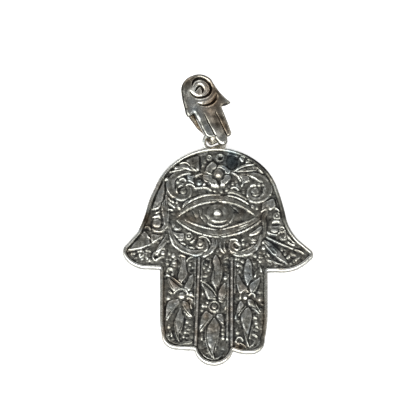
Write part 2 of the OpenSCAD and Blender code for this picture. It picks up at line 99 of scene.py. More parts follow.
# Fine ridges, tapered to both ends: start x, y, middle x, y, end x, y, width at the middle
EYE_RIDGES = (
    (-33, 8, -14, 18.6, 5, 19.4, 2.1), (11, 19.2, 21, 17, 33, 10.4, 1.9),
    (-40, -3, -15, 10.8, 2, 13.5, 2), (2, 13.5, 19, 10.8, 40, -1.5, 2),
    (-33, -4, -15, -11.8, 3, -15.2, 1.9), (3, -15.2, 19, -11.2, 40, -3.6, 2),
    (-40, -4.4, -20, -17.4, 4, -21.8, 2), (4, -21.8, 24, -17.8, 46, -5, 2),
    (22, -13, 28, -10.7, 34, -8.4, 1.1), (-9, -7.6, 3.4, -11.7, 13, -8.4, 1.8),
    (13, -8.4, 16.4, -4.6, 17.6, 1, 1.1), (-5.4, -4.2, 3, -7, 11.4, -4.8, 1.6),
)
SCROLL_RIDGES = (
    (-49, 34, -48.2, 24.5, -41, 17, 1.6), (-41, 17, -33, 14.6, -27.4, 17.4, 2.1),
    (-27.4, 17.4, -24.8, 22, -26, 27, 1.4), (-39.2, 27, -39.4, 24, -37.4, 21.4, 1.5),
    (-37.6, 27.8, -35.4, 29.1, -32.8, 29.4, 1.8), (-38.4, 37, -33, 40.2, -25, 41, 1.9),
    (-30.4, 29, -26.8, 30.6, -21, 27.2, 1.7), (-21.6, 27.2, -17, 26.8, -12.6, 28, 1.8),
    (-13.4, 27.4, -9.5, 27, -4.6, 24, 1.5), (-28.6, 35, -25, 33.4, -21.8, 31, 2.2),
    (-20.8, 38.6, -17, 40.2, -13.4, 41.2, 2), (-36.4, 34, -33.2, 36.4, -30.2, 33.6, 1.7),
    (-38, 9.6, -37.4, 7.6, -35.6, 6, 1.7), (-32.8, 7, -32, 10, -27, 14, 1.6),
    (-47.6, 12.4, -44.4, 9.6, -40.8, 7.2, 1.6), (-49, 4.4, -46, 5.2, -42.8, 4.8, 1.7),
    (-47.4, 18, -44.6, 14, -41.6, 12.4, 1.2), (33, 39, 39, 36.8, 45, 32.2, 1.9),
    (54, 34, 56, 25, 53.6, 18.6, 1.4), (53.6, 18.6, 49, 14.4, 41, 12.6, 1.7),
    (41, 12.6, 35.4, 13.4, 32, 17.4, 1.9), (32, 17.4, 31.4, 22.4, 34.4, 27.8, 1.3),
    (34.4, 28, 36.8, 29.8, 39.8, 29.6, 1.7), (36, 20.4, 39.6, 19.4, 43.4, 21, 1.6),
    (14.8, 26, 18.2, 27.4, 22.6, 24.4, 1.7), (43.5, 18, 47.6, 22, 47, 27, 1.1),
    (-64, 5.8, -59.4, 6.4, -55, 12.6, 2.2), (-60.8, 1.8, -58.4, 2.4, -55.8, 3.6, 1.9),
    (-53.2, 13, -53.6, 5, -52.6, -2, 1.2), (-48.4, 9, -47.6, -1, -48.2, -9, 1.2),
    (-64, -13.6, -57.4, -17, -50.6, -14, 2), (-50.6, -14, -48.4, -11, -48, -7, 1.3),
    (45, 2.8, 48, 4.6, 52, 6.6, 1.8), (58.8, 7.6, 61.4, 5.6, 63.4, 3.2, 1.7),
    (51, -16.6, 55, -19.2, 62, -19.4, 2), (62, -19, 64.2, -16.6, 64.6, -13, 1.2),
    (68.4, -13, 69.8, -18, 68, -24, 1.3), (64, -22, 67, -24.8, 71, -23, 1.2),
    (71, -19.6, 74, -24, 79, -28.6, 1.1), (72, -26.6, 75, -29.2, 79, -30, 1.1),
    (-47, -14, -45.4, -22, -41, -29.4, 1.3), (-41, -29.4, -35, -36, -27, -38.8, 1.6),
    (-27, -38.8, -19, -40.6, -12, -37, 1.9), (-12, -37, -8.2, -32.6, -9.6, -27, 1.4),
    (-18, -22.9, -10, -23, -5.8, -31, 1.3), (-19.4, -30.6, -16, -33, -12, -29.4, 1.9),
    (-36, -28.2, -33, -28.6, -30.4, -29.6, 2), (-25.4, -27.4, -22.6, -26, -20, -22.8, 1.9),
    (-26.8, -32.2, -24.4, -32.8, -21.8, -33.4, 1.7), (-41.2, -12.4, -38.4, -14.6, -34.8, -12.8, 1.7),
    (-38.4, -23.8, -35, -25.4, -31.8, -23.6, 1.9), (0.4, -25, -0.8, -33, -8.6, -39.8, 1.5),
    (-13.4, -41.6, -10.4, -41, -6.4, -38.6, 1.8), (4.4, -27.6, 4.8, -33, 8.6, -38.4, 1.2),
    (8.8, -27, 8.4, -32, 9.8, -37, 1.1), (45.4, -20, 43.8, -27, 39.4, -34.4, 1.3),
    (39.4, -34.4, 35, -38.8, 28, -40.4, 1.8), (28, -40.4, 22, -41, 17, -38.4, 1.9),
    (17, -38.4, 13.6, -34.4, 13, -30, 1.3), (13.8, -25.6, 17, -24.3, 22.4, -26.4, 1.8),
    (18.2, -32.6, 21, -34.9, 24.4, -32.2, 1.9), (25, -36, 28, -35.6, 31.4, -34, 1.6),
    (25.6, -25.2, 27.2, -24.8, 28.8, -23.4, 1.8), (31, -34.4, 35, -32.4, 38.4, -29.6, 1.1),
    (35.8, -27.3, 38, -27.8, 40.6, -28, 1.8), (35.6, -25, 38, -25.2, 40.4, -25.2, 1),
)
PETAL_RIDGES = (
    (-10.8, 44, -8.5, 42, -4, 40.8, 2), (1, 46.8, 5.5, 47, 8.5, 44.6, 1.8),
    (8.5, 44.6, 10, 42.6, 12, 41, 1.7), (12, 41, 13.4, 42.4, 14.8, 44, 1.4),
    (-12.8, 36.4, -10.5, 33.8, -7.5, 33.2, 1.9), (-7.5, 33.2, -5, 31, -3, 29, 1.8),
    (9.4, 31, 12, 33.6, 15, 36.4, 1.5),
)
LEAF_RIDGES = (
    (-36.6, 50.6, -31.6, 52.4, -26, 48.6, 2.3), (-26, 48.6, -22.6, 46, -19, 43.8, 1.9),
    (-46, 43.2, -38, 44.4, -30.6, 45.6, 1.9), (17.2, 42.8, 27, 48.4, 42, 50.2, 2.8),
    (41, 48.4, 43.6, 45.4, 47.2, 41.6, 2.1), (15.4, 42.4, 21, 39.4, 24.8, 33.6, 1.9),
    (25.8, 28, 27.4, 31.6, 33.8, 34, 2), (-88.6, -34.6, -75, -33, -64, -28.2, 2.1),
    (-64, -28.2, -58, -24.4, -53.2, -21.2, 1.9), (-50, -27.4, -54.4, -32.4, -60, -37.4, 2.5),
    (-60, -37.4, -63, -41, -60.4, -45.8, 2.2), (-60.4, -45.8, -56.4, -43, -51.4, -41.4, 1.6),
    (-69.4, -20, -67.4, -22.4, -65.4, -24.2, 1.4), (-73, -15, -69, -12, -65.4, -15.4, 1.2),
    (50, -22, 64, -28.8, 78, -34.4, 2), (78.6, -34.8, 83, -36.2, 88, -39, 1.6),
    (47.4, -27.4, 52, -33.4, 59, -41, 1.8), (59, -41, 65, -45, 71.6, -48.6, 1.7),
    (54.4, -31.4, 58.6, -35.4, 62.4, -40.4, 1.2), (51, -44.4, 54, -46, 57, -46, 1.7),
    (57, -46.4, 61, -48.6, 67, -49.6, 1.8), (80, -45, 82.8, -43.8, 85.4, -41.6, 1.5),
    (50.6, -38.8, 52.2, -40, 53.4, -41.4, 1.9), (-73, -36, -72.4, -40, -76.4, -42, 1.1),
    (-70.4, -41, -69, -42.6, -68.2, -44.6, 1),
)
FINGER_RIDGES = (
    (-37, -40.6, -33.4, -40.8, -30, -42.8, 1.9), (-29.4, -46.4, -27, -43.4, -22.8, -42, 1.9),
    (-42, -78.4, -38.6, -75.2, -33, -73.7, 1.8), (-33, -73.7, -29.6, -76, -27.8, -79.8, 1.9),
    (-37.2, -88, -43.4, -95.6, -49.4, -105.2, 1.8), (-33.4, -88.4, -30, -95, -24, -101.4, 1.6),
    (-31.6, -95.4, -29, -99, -25.4, -101.6, 1.1), (-48.4, -63.4, -45.6, -71, -42, -76, 1.2),
    (-50, -58.8, -42, -63.8, -33.6, -70.4, 1.5), (-22.6, -61, -24, -69.6, -27.8, -76.6, 1.3),
    (-48.8, -57, -47.4, -53.6, -43.4, -54.2, 1.3), (-47, -75.8, -45.4, -77.2, -43.4, -78.6, 1.4),
    (-28.6, -60.2, -31.6, -63.6, -34.6, -67, 1.5), (-35.4, -45, -35.2, -53, -38.6, -62.4, 1.1),
    (-29.2, -83, -25, -84, -22.8, -85.6, 1.3), (-22.8, -85.6, -25.2, -89, -24, -93.6, 1.3),
    (-41.4, -106, -40.6, -116, -36.6, -127, 1.5), (-33, -99, -33, -107, -36.6, -118, 1.4),
    (-46.4, -115, -44.6, -118, -44.4, -121.6, 1.2), (-5.4, -44, -5.8, -48, -6.2, -53, 1.3),
    (5.2, -49, 5.6, -60, 1, -72, 1.2), (-14, -66.6, -6, -72, 0.4, -81, 1.5),
    (-14, -72, -13.2, -76, -13.4, -80, 1.1), (10, -69, 9.6, -77, 5.4, -86, 1.3),
    (2.2, -85.2, 4.6, -86.6, 6.8, -85.6, 1.7), (-6.6, -84.2, -3, -83.6, 0.4, -84.2, 1.4),
    (-3, -101.6, -9.6, -108.6, -15.8, -116.4, 1.8), (1.6, -103, 4.6, -106.4, 8, -109.6, 1.6),
    (-14.8, -136.6, -10, -142, -2.6, -144.2, 1.7), (-1.6, -144, 2.6, -142.6, 6.8, -138.4, 1.5),
    (-9.8, -112, -9.6, -128, -2.2, -143.6, 1.3), (-5.2, -133.4, -3.4, -138.4, -1.8, -144, 1.7),
    (3.8, -110, 1.2, -127, -2, -138, 1), (-14.2, -118, -14, -121.6, -14, -125, 1.2),
    (8.6, -88.6, 9.6, -91.4, 9, -94.6, 1.4), (42.6, -50, 44.4, -53, 45.4, -57, 1.8),
    (40.6, -57, 39.8, -59.4, 38.8, -62, 1.7), (24.2, -78.6, 24.3, -81, 24.2, -83.8, 1.9),
    (24.4, -79, 27, -76, 32, -75.6, 1.7), (33, -80.4, 35.2, -78.4, 38.6, -82.4, 1.8),
    (31, -70.4, 33.2, -66.4, 36.6, -61.6, 1.4), (21, -61, 21.4, -70, 24.2, -78, 1.2),
    (44, -62.6, 42, -69.8, 36.4, -77.4, 1.5), (22, -96.6, 20.4, -99.4, 19.6, -103.6, 1.5),
    (30, -91.4, 26, -95.6, 22.6, -100.6, 1.2), (35.6, -92.2, 39.4, -95.2, 43.4, -98.6, 1.8),
    (27.4, -114, 29.6, -122, 32.8, -131.6, 1.9), (36.4, -110, 34.8, -117, 33.2, -124, 1),
    (20.8, -127.6, 22, -122.4, 26.6, -126.4, 1.8), (21.6, -128.4, 26, -129, 30, -132, 1.8),
    (32.8, -131.8, 36.4, -130, 39.2, -125.4, 1.7), (36.8, -118.8, 38.8, -119.8, 41, -121.4, 1.9),
    (37.6, -101.2, 38.8, -102.2, 41, -103.4, 1.8), (39.6, -110.6, 40.8, -111.6, 42, -112.8, 1.4),
    (39, -87, 41.4, -92, 44.4, -97, 1.1),
)

# Fluted bands of scrolls and stems, each a smooth line through knots: x, y, width
BANDS = (
    ((-25.5, 42.2, 1.5), (-32, 42.4, 3.4), (-39, 40, 5.6), (-44.3, 35, 7.6), (-45.3, 29, 7.8),
     (-43.6, 23.4, 7.2), (-39, 19, 6), (-33, 17.3, 5), (-28.2, 18.8, 4.6), (-26.8, 23, 3.8),
     (-28.2, 26.8, 3), (-31.5, 28, 2)),
    ((25, 41, 1.5), (33, 40.6, 3.4), (41, 38.8, 6), (47.6, 35.4, 7.4), (51.2, 30, 8), (51.8, 24.6, 7.4),
     (50, 19.4, 6.6), (46, 15.9, 5.6), (40.6, 14.6, 4.6), (35.6, 16, 4.4), (33.2, 20.4, 3.8),
     (33.8, 25.2, 3.4), (36.6, 28.4, 2.6), (39.6, 28.8, 1.8)),
    ((-49.5, 19, 2), (-50.6, 11, 3.4), (-51, 3, 4.6), (-50.2, -5, 5), (-50.4, -10.5, 4.8),
     (-53, -14.6, 3.8), (-57.5, -15.6, 3), (-62.5, -13.4, 1.6)),
    ((-47, -10, 2.4), (-45.6, -17, 4), (-43.8, -23.5, 5.4), (-40, -29.4, 6), (-34.6, -33.6, 6),
     (-28, -36.8, 5.2), (-20.5, -38, 4.4), (-14.4, -36.6, 4.4), (-10.8, -32.4, 4.4), (-10.6, -27.6, 4.2),
     (-13.4, -24.8, 3.6), (-17.2, -24.4, 2.2)),
    ((-3, -24.5, 2), (-2.6, -30, 4), (-5, -35.4, 4), (-9.6, -39, 2.6), (-13, -40, 1.2)),
    ((45.6, -20.5, 2.4), (43.6, -27, 3.6), (40.2, -32.6, 4.4), (34.8, -36.8, 4.6), (28, -38.6, 4),
     (21.4, -37.6, 4.4), (16.4, -34.4, 5), (15, -29.8, 4.6), (17.6, -26.4, 3.4), (21.4, -27.2, 2.6),
     (24, -30.4, 2.2)),
    ((-61, -41.5, 1.4), (-57.6, -35.6, 4), (-53.4, -30, 5), (-50, -24.6, 4.4), (-48.6, -20, 2)),
)

# Dull, flat bands: lids, stems, and the lines along the border at the fingertips, in the columns of BANDS
LINERS = (
    ((-38.5, 0, 1), (-30, 6, 4.6), (-20, 11.8, 5.6), (-10, 15.6, 6), (2, 16.6, 6), (14, 14.4, 6),
     (24, 10.6, 5.4), (32, 6.4, 4.4), (41, -0.5, 1)),
    ((-39, -4.4, 1), (-30, -9, 4.6), (-20, -13.6, 6), (-10, -16.8, 6.4), (2, -18.4, 6.4),
     (14, -16.6, 6.4), (24, -13, 6), (34, -8.6, 4.6), (43.5, -3.6, 1)),
    ((52.6, 9, 2), (50, 2, 4), (47.6, -3, 4.6), (48.6, -10, 4.4), (48.4, -17, 3.4), (46, -24, 2)),
    ((-50, -107, 1.6), (-50.6, -116, 2.6), (-47.8, -122.8, 3.2), (-42, -127.2, 3.4), (-36, -128.6, 3.4),
     (-29, -128, 3.2), (-24.5, -126.6, 2.4)),
    ((20, -132, 2.4), (25, -134.5, 3.2), (32, -135.2, 3.4), (39, -133.2, 3.2), (43.5, -127.4, 2.8),
     (45, -119, 1.6)),
    ((11.5, 22.4, 1.5), (18, 22.6, 3.6), (25, 19.6, 3.6), (31, 15.6, 2)),
    ((-16.5, -139.4, 2), (-12, -144, 3), (-5, -146.8, 3.2), (2, -146.8, 3.2), (9, -142.4, 3),
     (12, -136.4, 2)),
)

# Flat-topped bodies of leaves, petals and pads, each a closed smooth line through knots: x, y
PLATES = (
    ((-41, 49), (-36.5, 50.5), (-33, 51.8), (-29.5, 50.6), (-26, 47.4), (-22.5, 45.4), (-19.4, 43.6),
     (-24.5, 43.6), (-30, 45.2), (-36, 45.2), (-41.5, 45.5)),
    ((-33.4, 54.2), (-30.4, 52.6), (-26, 48.8), (-20, 45), (-17, 44.4), (-16.6, 52), (-17.4, 59),
     (-22, 58.4), (-27, 57)),
    ((-29, 39.6), (-25, 39.4), (-20.6, 39.2), (-22.6, 36), (-21.8, 31.2), (-25, 33.4), (-28.4, 35)),
    ((-52.2, 33), (-51.4, 26), (-52, 19), (-53.4, 13.5), (-56.5, 9), (-60, 6.8), (-63.8, 6), (-62.6, 12),
     (-60.4, 19), (-57.6, 25.6), (-54.6, 30.4)),
    ((-63.8, -3.4), (-62.4, -1), (-58.5, -0.4), (-55.7, -1.4), (-55, -5), (-57.4, -3.4), (-60.4, -2.8)),
    ((-64.4, -19.4), (-58, -19.8), (-54.5, -20.6), (-58.4, -24.2), (-63.6, -27.6), (-65.4, -23)),
    ((-87, -34), (-81.4, -27), (-77, -21.6), (-72.8, -16.4), (-68.4, -18.6), (-66.6, -23), (-65.8, -28.6),
     (-69.6, -30.8), (-75, -32.8), (-81, -34)),
    ((-46, -13.5), (-42, -17), (-36, -18.4), (-32, -18.6), (-31.2, -21), (-32.2, -24.2), (-35.4, -25),
     (-39, -23.4), (-43, -19.6)),
    ((22.6, 57.2), (25, 59.2), (29.4, 58), (28, 53.4), (25.6, 52.8), (23.6, 55)),
    ((29.6, 54.6), (33, 55.6), (37, 53), (35, 51.8), (30, 51.4)),
    ((19, 43.2), (24, 45.8), (31, 48.6), (38, 49.6), (41.6, 49), (41.4, 45.2), (37, 42.8), (28, 42.6)),
    ((16.4, 41.8), (22, 40.2), (28, 39.8), (33, 38), (33.4, 35.4), (32, 32.4), (28.6, 31), (26, 28.2),
     (25.6, 32), (24.6, 36.4), (21, 39.4)),
    ((-10.8, 44.6), (-9.5, 48), (-6.5, 51.5), (-3.5, 53.7), (-1, 52), (1.2, 49.4), (0.4, 46.6),
     (-2.6, 44.6), (-4.5, 41.6), (-8, 42)),
    ((1, 48.5), (4.5, 50.2), (8, 49.2), (12, 46.5), (15, 43.8), (12, 41), (9.6, 42.6), (7, 45.4),
     (4, 46.8)),
    ((-12.6, 40), (-9, 40.4), (-4.6, 39.4), (-3, 36.4), (0.6, 34.4), (1.6, 31.6), (0, 29.4), (-3, 29.6),
     (-7, 32.6), (-10.5, 34), (-13, 36.5)),
    ((8.2, 39), (12, 40.5), (15, 38.5), (15, 36), (12, 33), (10, 30.5), (7, 28.6), (4.4, 30.4), (4.4, 34),
     (7, 35.8)),
    ((46.5, 11.8), (52, 14.5), (58, 16), (60, 10), (58.6, 7), (54, 4.4), (51, 6.4), (46, 4.6)),
    ((55.8, -8.4), (57.4, -5.8), (60.4, -4.7), (63, -5.5), (63.8, -7.6), (60.6, -7), (57.8, -7.7)),
    ((54.6, -15), (62, -15), (61, -18), (57, -18.4)),
    ((46.4, -11.6), (42.4, -12.6), (38, -16), (33, -19.6), (35, -21.2), (40, -20.2), (44, -17.4),
     (46.6, -14)),
    ((48, -25.5), (54, -27.6), (60, -32.4), (66, -39), (71.8, -48.4), (64, -44.8), (57.4, -40.2),
     (52.2, -34.8), (49, -29.8)),
    ((-35, -41), (-30.5, -41), (-30, -47), (-29.2, -54), (-28.2, -59.5), (-31.5, -63.8), (-34.3, -68.4),
     (-37.5, -66), (-38.9, -62), (-37.1, -57.5), (-35.5, -52), (-35, -46)),
    ((-50, -58), (-46, -60.2), (-40, -64.4), (-36, -68.4), (-33, -70.8), (-36.4, -70.4), (-41, -67),
     (-46.4, -63), (-50, -60.6)),
    ((-48.7, -62), (-44.5, -65), (-40, -69), (-35.4, -72.4), (-36, -74), (-39.5, -75.5), (-42.4, -76.8),
     (-44.8, -72), (-47.2, -67)),
    ((-31.6, -71), (-28.8, -66), (-26.8, -62), (-24, -59.6), (-22.2, -60), (-22.6, -64), (-23.9, -69),
     (-25.6, -73), (-27.8, -77), (-30, -75), (-31.8, -73)),
    ((-37.5, -84), (-36.3, -87), (-38, -90.6), (-42, -95), (-47, -99), (-49.4, -105), (-50.4, -100),
     (-50.4, -92), (-48, -87), (-44, -85), (-41, -84.5)),
    ((-33.4, -86.4), (-30, -86.6), (-27, -89), (-25.8, -94), (-24, -101.6), (-28, -98), (-31.4, -93.4),
     (-33.6, -89.6)),
    ((-35.5, -93), (-33.4, -98), (-32.4, -103), (-33, -108), (-35, -113), (-36.6, -119), (-36.6, -123),
     (-35.6, -127.4), (-37.6, -127), (-38.5, -122), (-40.1, -117), (-41.5, -111), (-41.1, -105),
     (-39.4, -100), (-37.3, -96)),
    ((-1, -40.4), (1.4, -41.4), (4.2, -47), (5.6, -54), (5.6, -60), (4.2, -66), (1.6, -71), (0.2, -76.4),
     (-1.4, -73), (-3.7, -69), (-5.1, -65), (-4.6, -61), (-3.2, -56), (-2.4, -51), (-3.6, -46)),
    ((-15, -69), (-12.4, -69), (-7.6, -73), (-3, -77.6), (-0.2, -81.6), (-2, -83.2), (-6, -84.6),
     (-8.4, -84), (-10.4, -79), (-13, -74)),
    ((9.4, -68), (10.2, -71), (9.6, -76), (8, -81), (6.2, -85), (4.2, -87.6), (2.4, -85), (1.6, -80),
     (3, -75), (6.2, -70)),
    ((-10, -96), (-6, -98), (-3, -100), (-5, -104), (-10, -108.4), (-14, -111.6), (-16, -116),
     (-16, -108), (-14, -100)),
    ((0, -100), (3, -98.6), (6.6, -99), (7.7, -104), (8.2, -109.8), (4.5, -107.2), (1.4, -104)),
    ((-1.5, -102.4), (2, -107), (4, -113), (3, -120), (0.6, -127), (-1.5, -133), (-2, -138), (-1.6, -144),
     (-2.8, -143.6), (-4.4, -139), (-6.4, -134), (-8.8, -128), (-9.8, -120), (-8.6, -112), (-5, -106)),
    ((31, -44), (28.5, -50), (27.4, -56), (27.9, -62), (29.4, -67), (31, -70.6), (32.6, -67), (35, -63.5),
     (36.6, -61), (36.5, -55), (36, -49), (34, -45)),
    ((20.4, -61), (22.5, -60), (25, -64), (27, -68), (29.5, -70.4), (31.6, -73), (31, -75.6), (28, -75.6),
     (25.5, -77), (24, -79.4), (22.3, -76), (21.2, -70)),
    ((44.2, -61.6), (44.1, -65), (42.1, -69.5), (39.6, -73.5), (37.1, -76.7), (35.3, -78.4),
     (33.4, -75.5), (32.9, -71), (35, -68), (38, -66), (41, -64)),
    ((24.5, -86), (27.5, -88.4), (28, -91), (26, -95), (23, -98), (20.2, -99.8), (20.3, -95),
     (21.5, -90)),
    ((31, -85), (35, -84.4), (38.4, -86.6), (40.4, -91), (43.2, -97.8), (39, -94.8), (35.6, -92),
     (32, -90)),
    ((29.5, -93.4), (33, -92.6), (35.6, -97), (36.1, -103), (35.1, -109), (33.6, -115), (32.2, -121),
     (32, -126), (33, -132), (31.4, -131.4), (29.8, -126), (28.3, -120), (26.8, -113), (25.3, -107),
     (24.4, -101), (26.5, -96.8)),
)

# Beads and bosses: x, y, radius
BEADS = (
    (-32.6, 23.6, 3.6), (39, 23.4, 4), (-59.2, -8.6, 4.7), (-15.8, -28, 3.4), (-11, 53.3, 1.8),
    (-12.8, 49.6, 1.2), (-49, 36.2, 1.9), (-45.2, 43.4, 1.5), (-41.6, 42.6, 1.2), (43.2, 30, 1.5),
    (47.2, 30.6, 1.5), (49.4, 27.2, 1.6), (48.4, 39, 1.3), (-38.4, 33.4, 1.9), (-12.6, 30.4, 1.5),
    (-16.4, 32.4, 3.2), (10.8, 25, 1.9), (5.6, 23.4, 1.5), (17, 31.2, 1.6), (21.2, 29, 1.8),
    (13.2, 28.6, 1.3), (20.4, 33.4, 1.5), (27.6, 22, 1.5), (-1.4, 24, 1.2), (3.6, 19.8, 1.1),
    (7.2, 19.2, 1.2), (36.6, 8.2, 1.8), (41.2, 6.4, 1.3), (-39, 12.4, 1.4), (-42.4, -10.6, 1.7),
    (60, 1.8, 1.7), (71, -11.4, 1.2), (1.6, -36, 1.4), (4.4, -40, 1.6), (27.6, -28.8, 1.6),
    (31.2, -29.8, 1.6), (-28.6, -31.8, 1.5), (-47.8, -25.6, 1.9), (47.4, -27.6, 1.5), (47.6, -33.2, 1.6),
    (48.4, -37.8, 1.2), (44.4, -37, 1.2), (-84, -38.4, 1.4), (-79.6, -42.2, 1.8), (-74.8, -35.8, 1.6),
    (-77.2, -36.2, 1.3), (-68.4, -35, 2), (-65.8, -36, 1.3), (-66, -45.6, 1.6), (-64, -45.4, 1.6),
    (-76, -39.4, 1.4), (-73.6, -44, 1.3), (-81.4, -38.6, 1.1), (-69.6, -38.4, 1.1), (66, -34.8, 1.8),
    (69.2, -39.4, 1.8), (71.4, -42.6, 1.5), (73.4, -41.6, 1.4), (75.2, -38.6, 1.4), (78.2, -39.2, 1.8),
    (85, -42, 1.4), (80, -45.2, 1.4), (75.4, -47.6, 1.9), (77.4, -46.8, 1.3), (70.6, -48.4, 1.3),
    (50.2, -41, 1.4), (-53, -38.2, 1.8), (-51.4, -33.4, 1.3), (-46.6, -38.4, 1.6), (-42.4, -40.8, 2),
    (-40.6, -44, 1.2), (-48.4, -43.8, 1.5), (-45.6, -44.2, 1.3), (-48.4, -48.2, 1.7), (-41.6, -47.4, 2.1),
    (-41.4, -50.6, 1.4), (-43.4, -59.4, 1.5), (-26, -49.6, 1.5), (-22.8, -52, 1.4), (-25, -57, 1.3),
    (-26.4, -53.2, 1.1), (-34, -80.6, 3.2), (-47.2, -82.6, 2.2), (-24.8, -79.4, 2.2), (-22.8, -81, 1.2),
    (-41.6, -86, 1.2), (-47, -111.4, 1.9), (-43, -124.2, 1.6), (-47.6, -119.6, 1.3), (-29, -106.6, 1.6),
    (-25.6, -109.6, 1.2), (-30.2, -111.2, 1.6), (-27.2, -113.6, 1.8), (-30.6, -117, 1.4),
    (-28, -117.4, 1.3), (-32, -121.6, 1.3), (-28.8, -121.6, 1.6), (-32, -125.6, 1.3), (-12.8, -45, 1.9),
    (-9.6, -48.7, 1.7), (-8.4, -43.4, 1.3), (-6.8, -43.8, 1.2), (-12, -52.6, 1.7), (-7.4, -55, 1.4),
    (-10, -57, 1), (-11.6, -60.8, 1.5), (-9.4, -60.6, 1.5), (-10.8, -66.4, 1.8), (9.4, -43, 1.9),
    (11.6, -42.4, 1.5), (10.2, -46.2, 1.5), (10, -51, 1.5), (10, -54, 1.4), (9.7, -62.8, 2),
    (10, -58.4, 1), (14.6, -44, 1.5), (17.6, -43.9, 1.1), (20, -43.9, 1.2), (22.8, -43.9, 1.3),
    (-8.5, -87.4, 1.6), (-12.6, -90.6, 2), (-9.6, -91, 1.6), (-14, -95.2, 1.2), (9.2, -87.2, 1.2),
    (7.2, -110.4, 1.2), (6.8, -114.2, 1.1), (6.9, -118, 1.4), (7.1, -122.6, 1.5), (6, -138.6, 1.7),
    (22, -50.4, 2), (24.6, -50.4, 1.5), (26.4, -46.6, 1.9), (21.6, -54, 1.7), (23.6, -56.6, 1.1),
    (37, -46, 1.5), (38.2, -48, 1.2), (44, -46.2, 1.5), (43.8, -42, 1.4), (46, -42, 1.3),
    (39.4, -41, 1.4), (42, -44.6, 1.1), (29, -82.6, 2), (43, -76.6, 1.8), (43.6, -84.4, 1.4),
    (44.6, -92.8, 1.3), (21.4, -114.4, 1.9), (21.6, -117, 2), (40.2, -107.6, 2), (40.6, -115, 1.4),
    (22, -105, 1.3), (45.4, -88.6, 1.1), (2.3, 41.4, 5),
)

# Round facets that fall towards -y and shine: x, y, radius
FACETS = (
    (-2.8, 29.6, 2.4), (0.4, 28.6, 3), (6.8, 30, 2.7), (-60.4, -2.2, 2), (-57.4, -1.8, 2.3),
    (-57.8, -10.4, 1.9), (-33.6, -81.8, 1.4), (29.4, -83, 1.8), (-11.6, 30.6, 1.5), (-89, -35.8, 1.2),
    (2.3, 39.2, 2.8),
)

# Rings round a boss: x, y, middle radius, width, radius of the boss
COLLARS = (
    (-27, -21, 2.9, 1.2, 1.4), (4.2, 57.4, 3.4, 1.5, 0.8), (-1.8, -91.4, 5, 1.4, 3.2),
    (61, -0.8, 3, 1.2, 1.2), (66, -14.6, 2.6, 1.1, 0.7), (-6.6, 57.4, 2.2, 1.1, 0.8),
)

# Bars between the fingers: top x, y, top width, bottom x, y, bottom width
BARS = ((-16.9, -43.5, 2.6, -20.6, -133.5, 3.4), (15.7, -43.5, 2.8, 15.6, -134.5, 3))

# Thin lines beside the bars: x at the top, y, x at the bottom, y, width
BAR_LINES = (
    (-20.6, -46, -21.2, -100, 1.1), (-13.9, -46, -14.6, -66, 1), (12.2, -60, 11, -124, 1.2),
    (19.2, -48, 18.6, -78, 1),
)

# Sunken, blackened hollows: x, y, half width, half height
HOLLOWS = (
    (16, 53, 7.4, 9.6), (60, -9.8, 4.8, 1.9), (-32.2, -67.7, 1.5, 1.5), (-45, -56.8, 1.8, 1.2),
    (-33, 33, 1.2, 1.2), (32, -78.4, 2.2, 1.3), (77.2, -42.6, 3.4, 1.3), (4.4, 57.2, 1.8, 2),
    (-53.6, -9.4, 1.3, 1.5), (-27, -85.3, 1.7, 1.1), (68, -36.6, 1.2, 1.2), (-59.4, -42, 1.2, 2.2),
)

# Engraved lines: x, y, then x, y of the next point, with the width last
CUTS = (
    (-15.8, 59, -15.2, 46, 1.5), (-46, -62.3, -34.6, -70.6, 1.4), (-10, -71.4, -5, -75.6, 1.1),
    (-38, -44, -38.2, -64, 1.3), (-17.4, 4, -16.2, -2, 1.2), (-16.2, -2, -12, -7.4, 1.2),
    (-50.7, 33, -50.6, 20, 1.3), (-52, 20, -49.8, 9, 1.2), (-48.6, 20, -44, 13, 1),
    (28, 44.6, 40, 46.2, 0.9), (27, 42, 39, 43.6, 0.8), (36, -22, 42.6, -20.2, 1.4),
    (33.4, -50, 33.8, -53.4, 1), (33.2, -58, 34, -61.6, 1.1), (-1.4, -56, -1.6, -64, 1),
    (9.1, -99, 9.2, -125, 1.1), (-13, 6, -14, 0, 0.8), (-11, -1, -8, -5, 0.8), (14, 9, 20, 4, 0.8),
    (18, 6, 23, 1, 0.8), (-24, 4, -20, -4, 0.8),
)

# Tarnish of one colour: x, y, half width, half height, and how warm, from -1 for blue to 1 for brown
TINTS = (
    (-69.5, -4, 5, 6, 0.9), (-59, -9, 5, 5, 0.2), (-24, -4, 8, 5, 0.7), (16, 53, 9, 11, -0.8),
    (32, -60, 5, 14, -0.25), (25, -71, 5, 8, -0.2), (38, -71, 5, 7, -0.25), (-19, -42, 5, 2.4, -0.5),
    (-16.4, 32.4, 4.5, 4.5, -0.5), (-26, 36, 5, 4, -0.3), (23, -132, 7, 3, 0.8), (5, -76, 4, 7, 0.6),
    (-3, -113, 8, 6, 0.5), (2, 41, 4, 4, 0.5), (-41, -68, 6, 5, 0.8), (47.4, -108, 3, 14, 0.7),
    (-52, -96, 2, 34, 0.6), (57, -33, 5, 8, -0.5), (-16, -29, 5, 5, 0.3), (17, -31, 4, 4, 0.4),
    (-28, -90, 4, 6, 0.6), (-10, -101, 3, 4, 0.8), (26, -72, 3, 4, 0.3), (19.6, -102, 2, 4, -0.4),
    (50, -4, 5, 10, 0.15), (-18, -70, 2, 30, 0.3), (-20, -115, 2, 18, 0.4), (15.7, -80, 2, 45, 0.25),
)
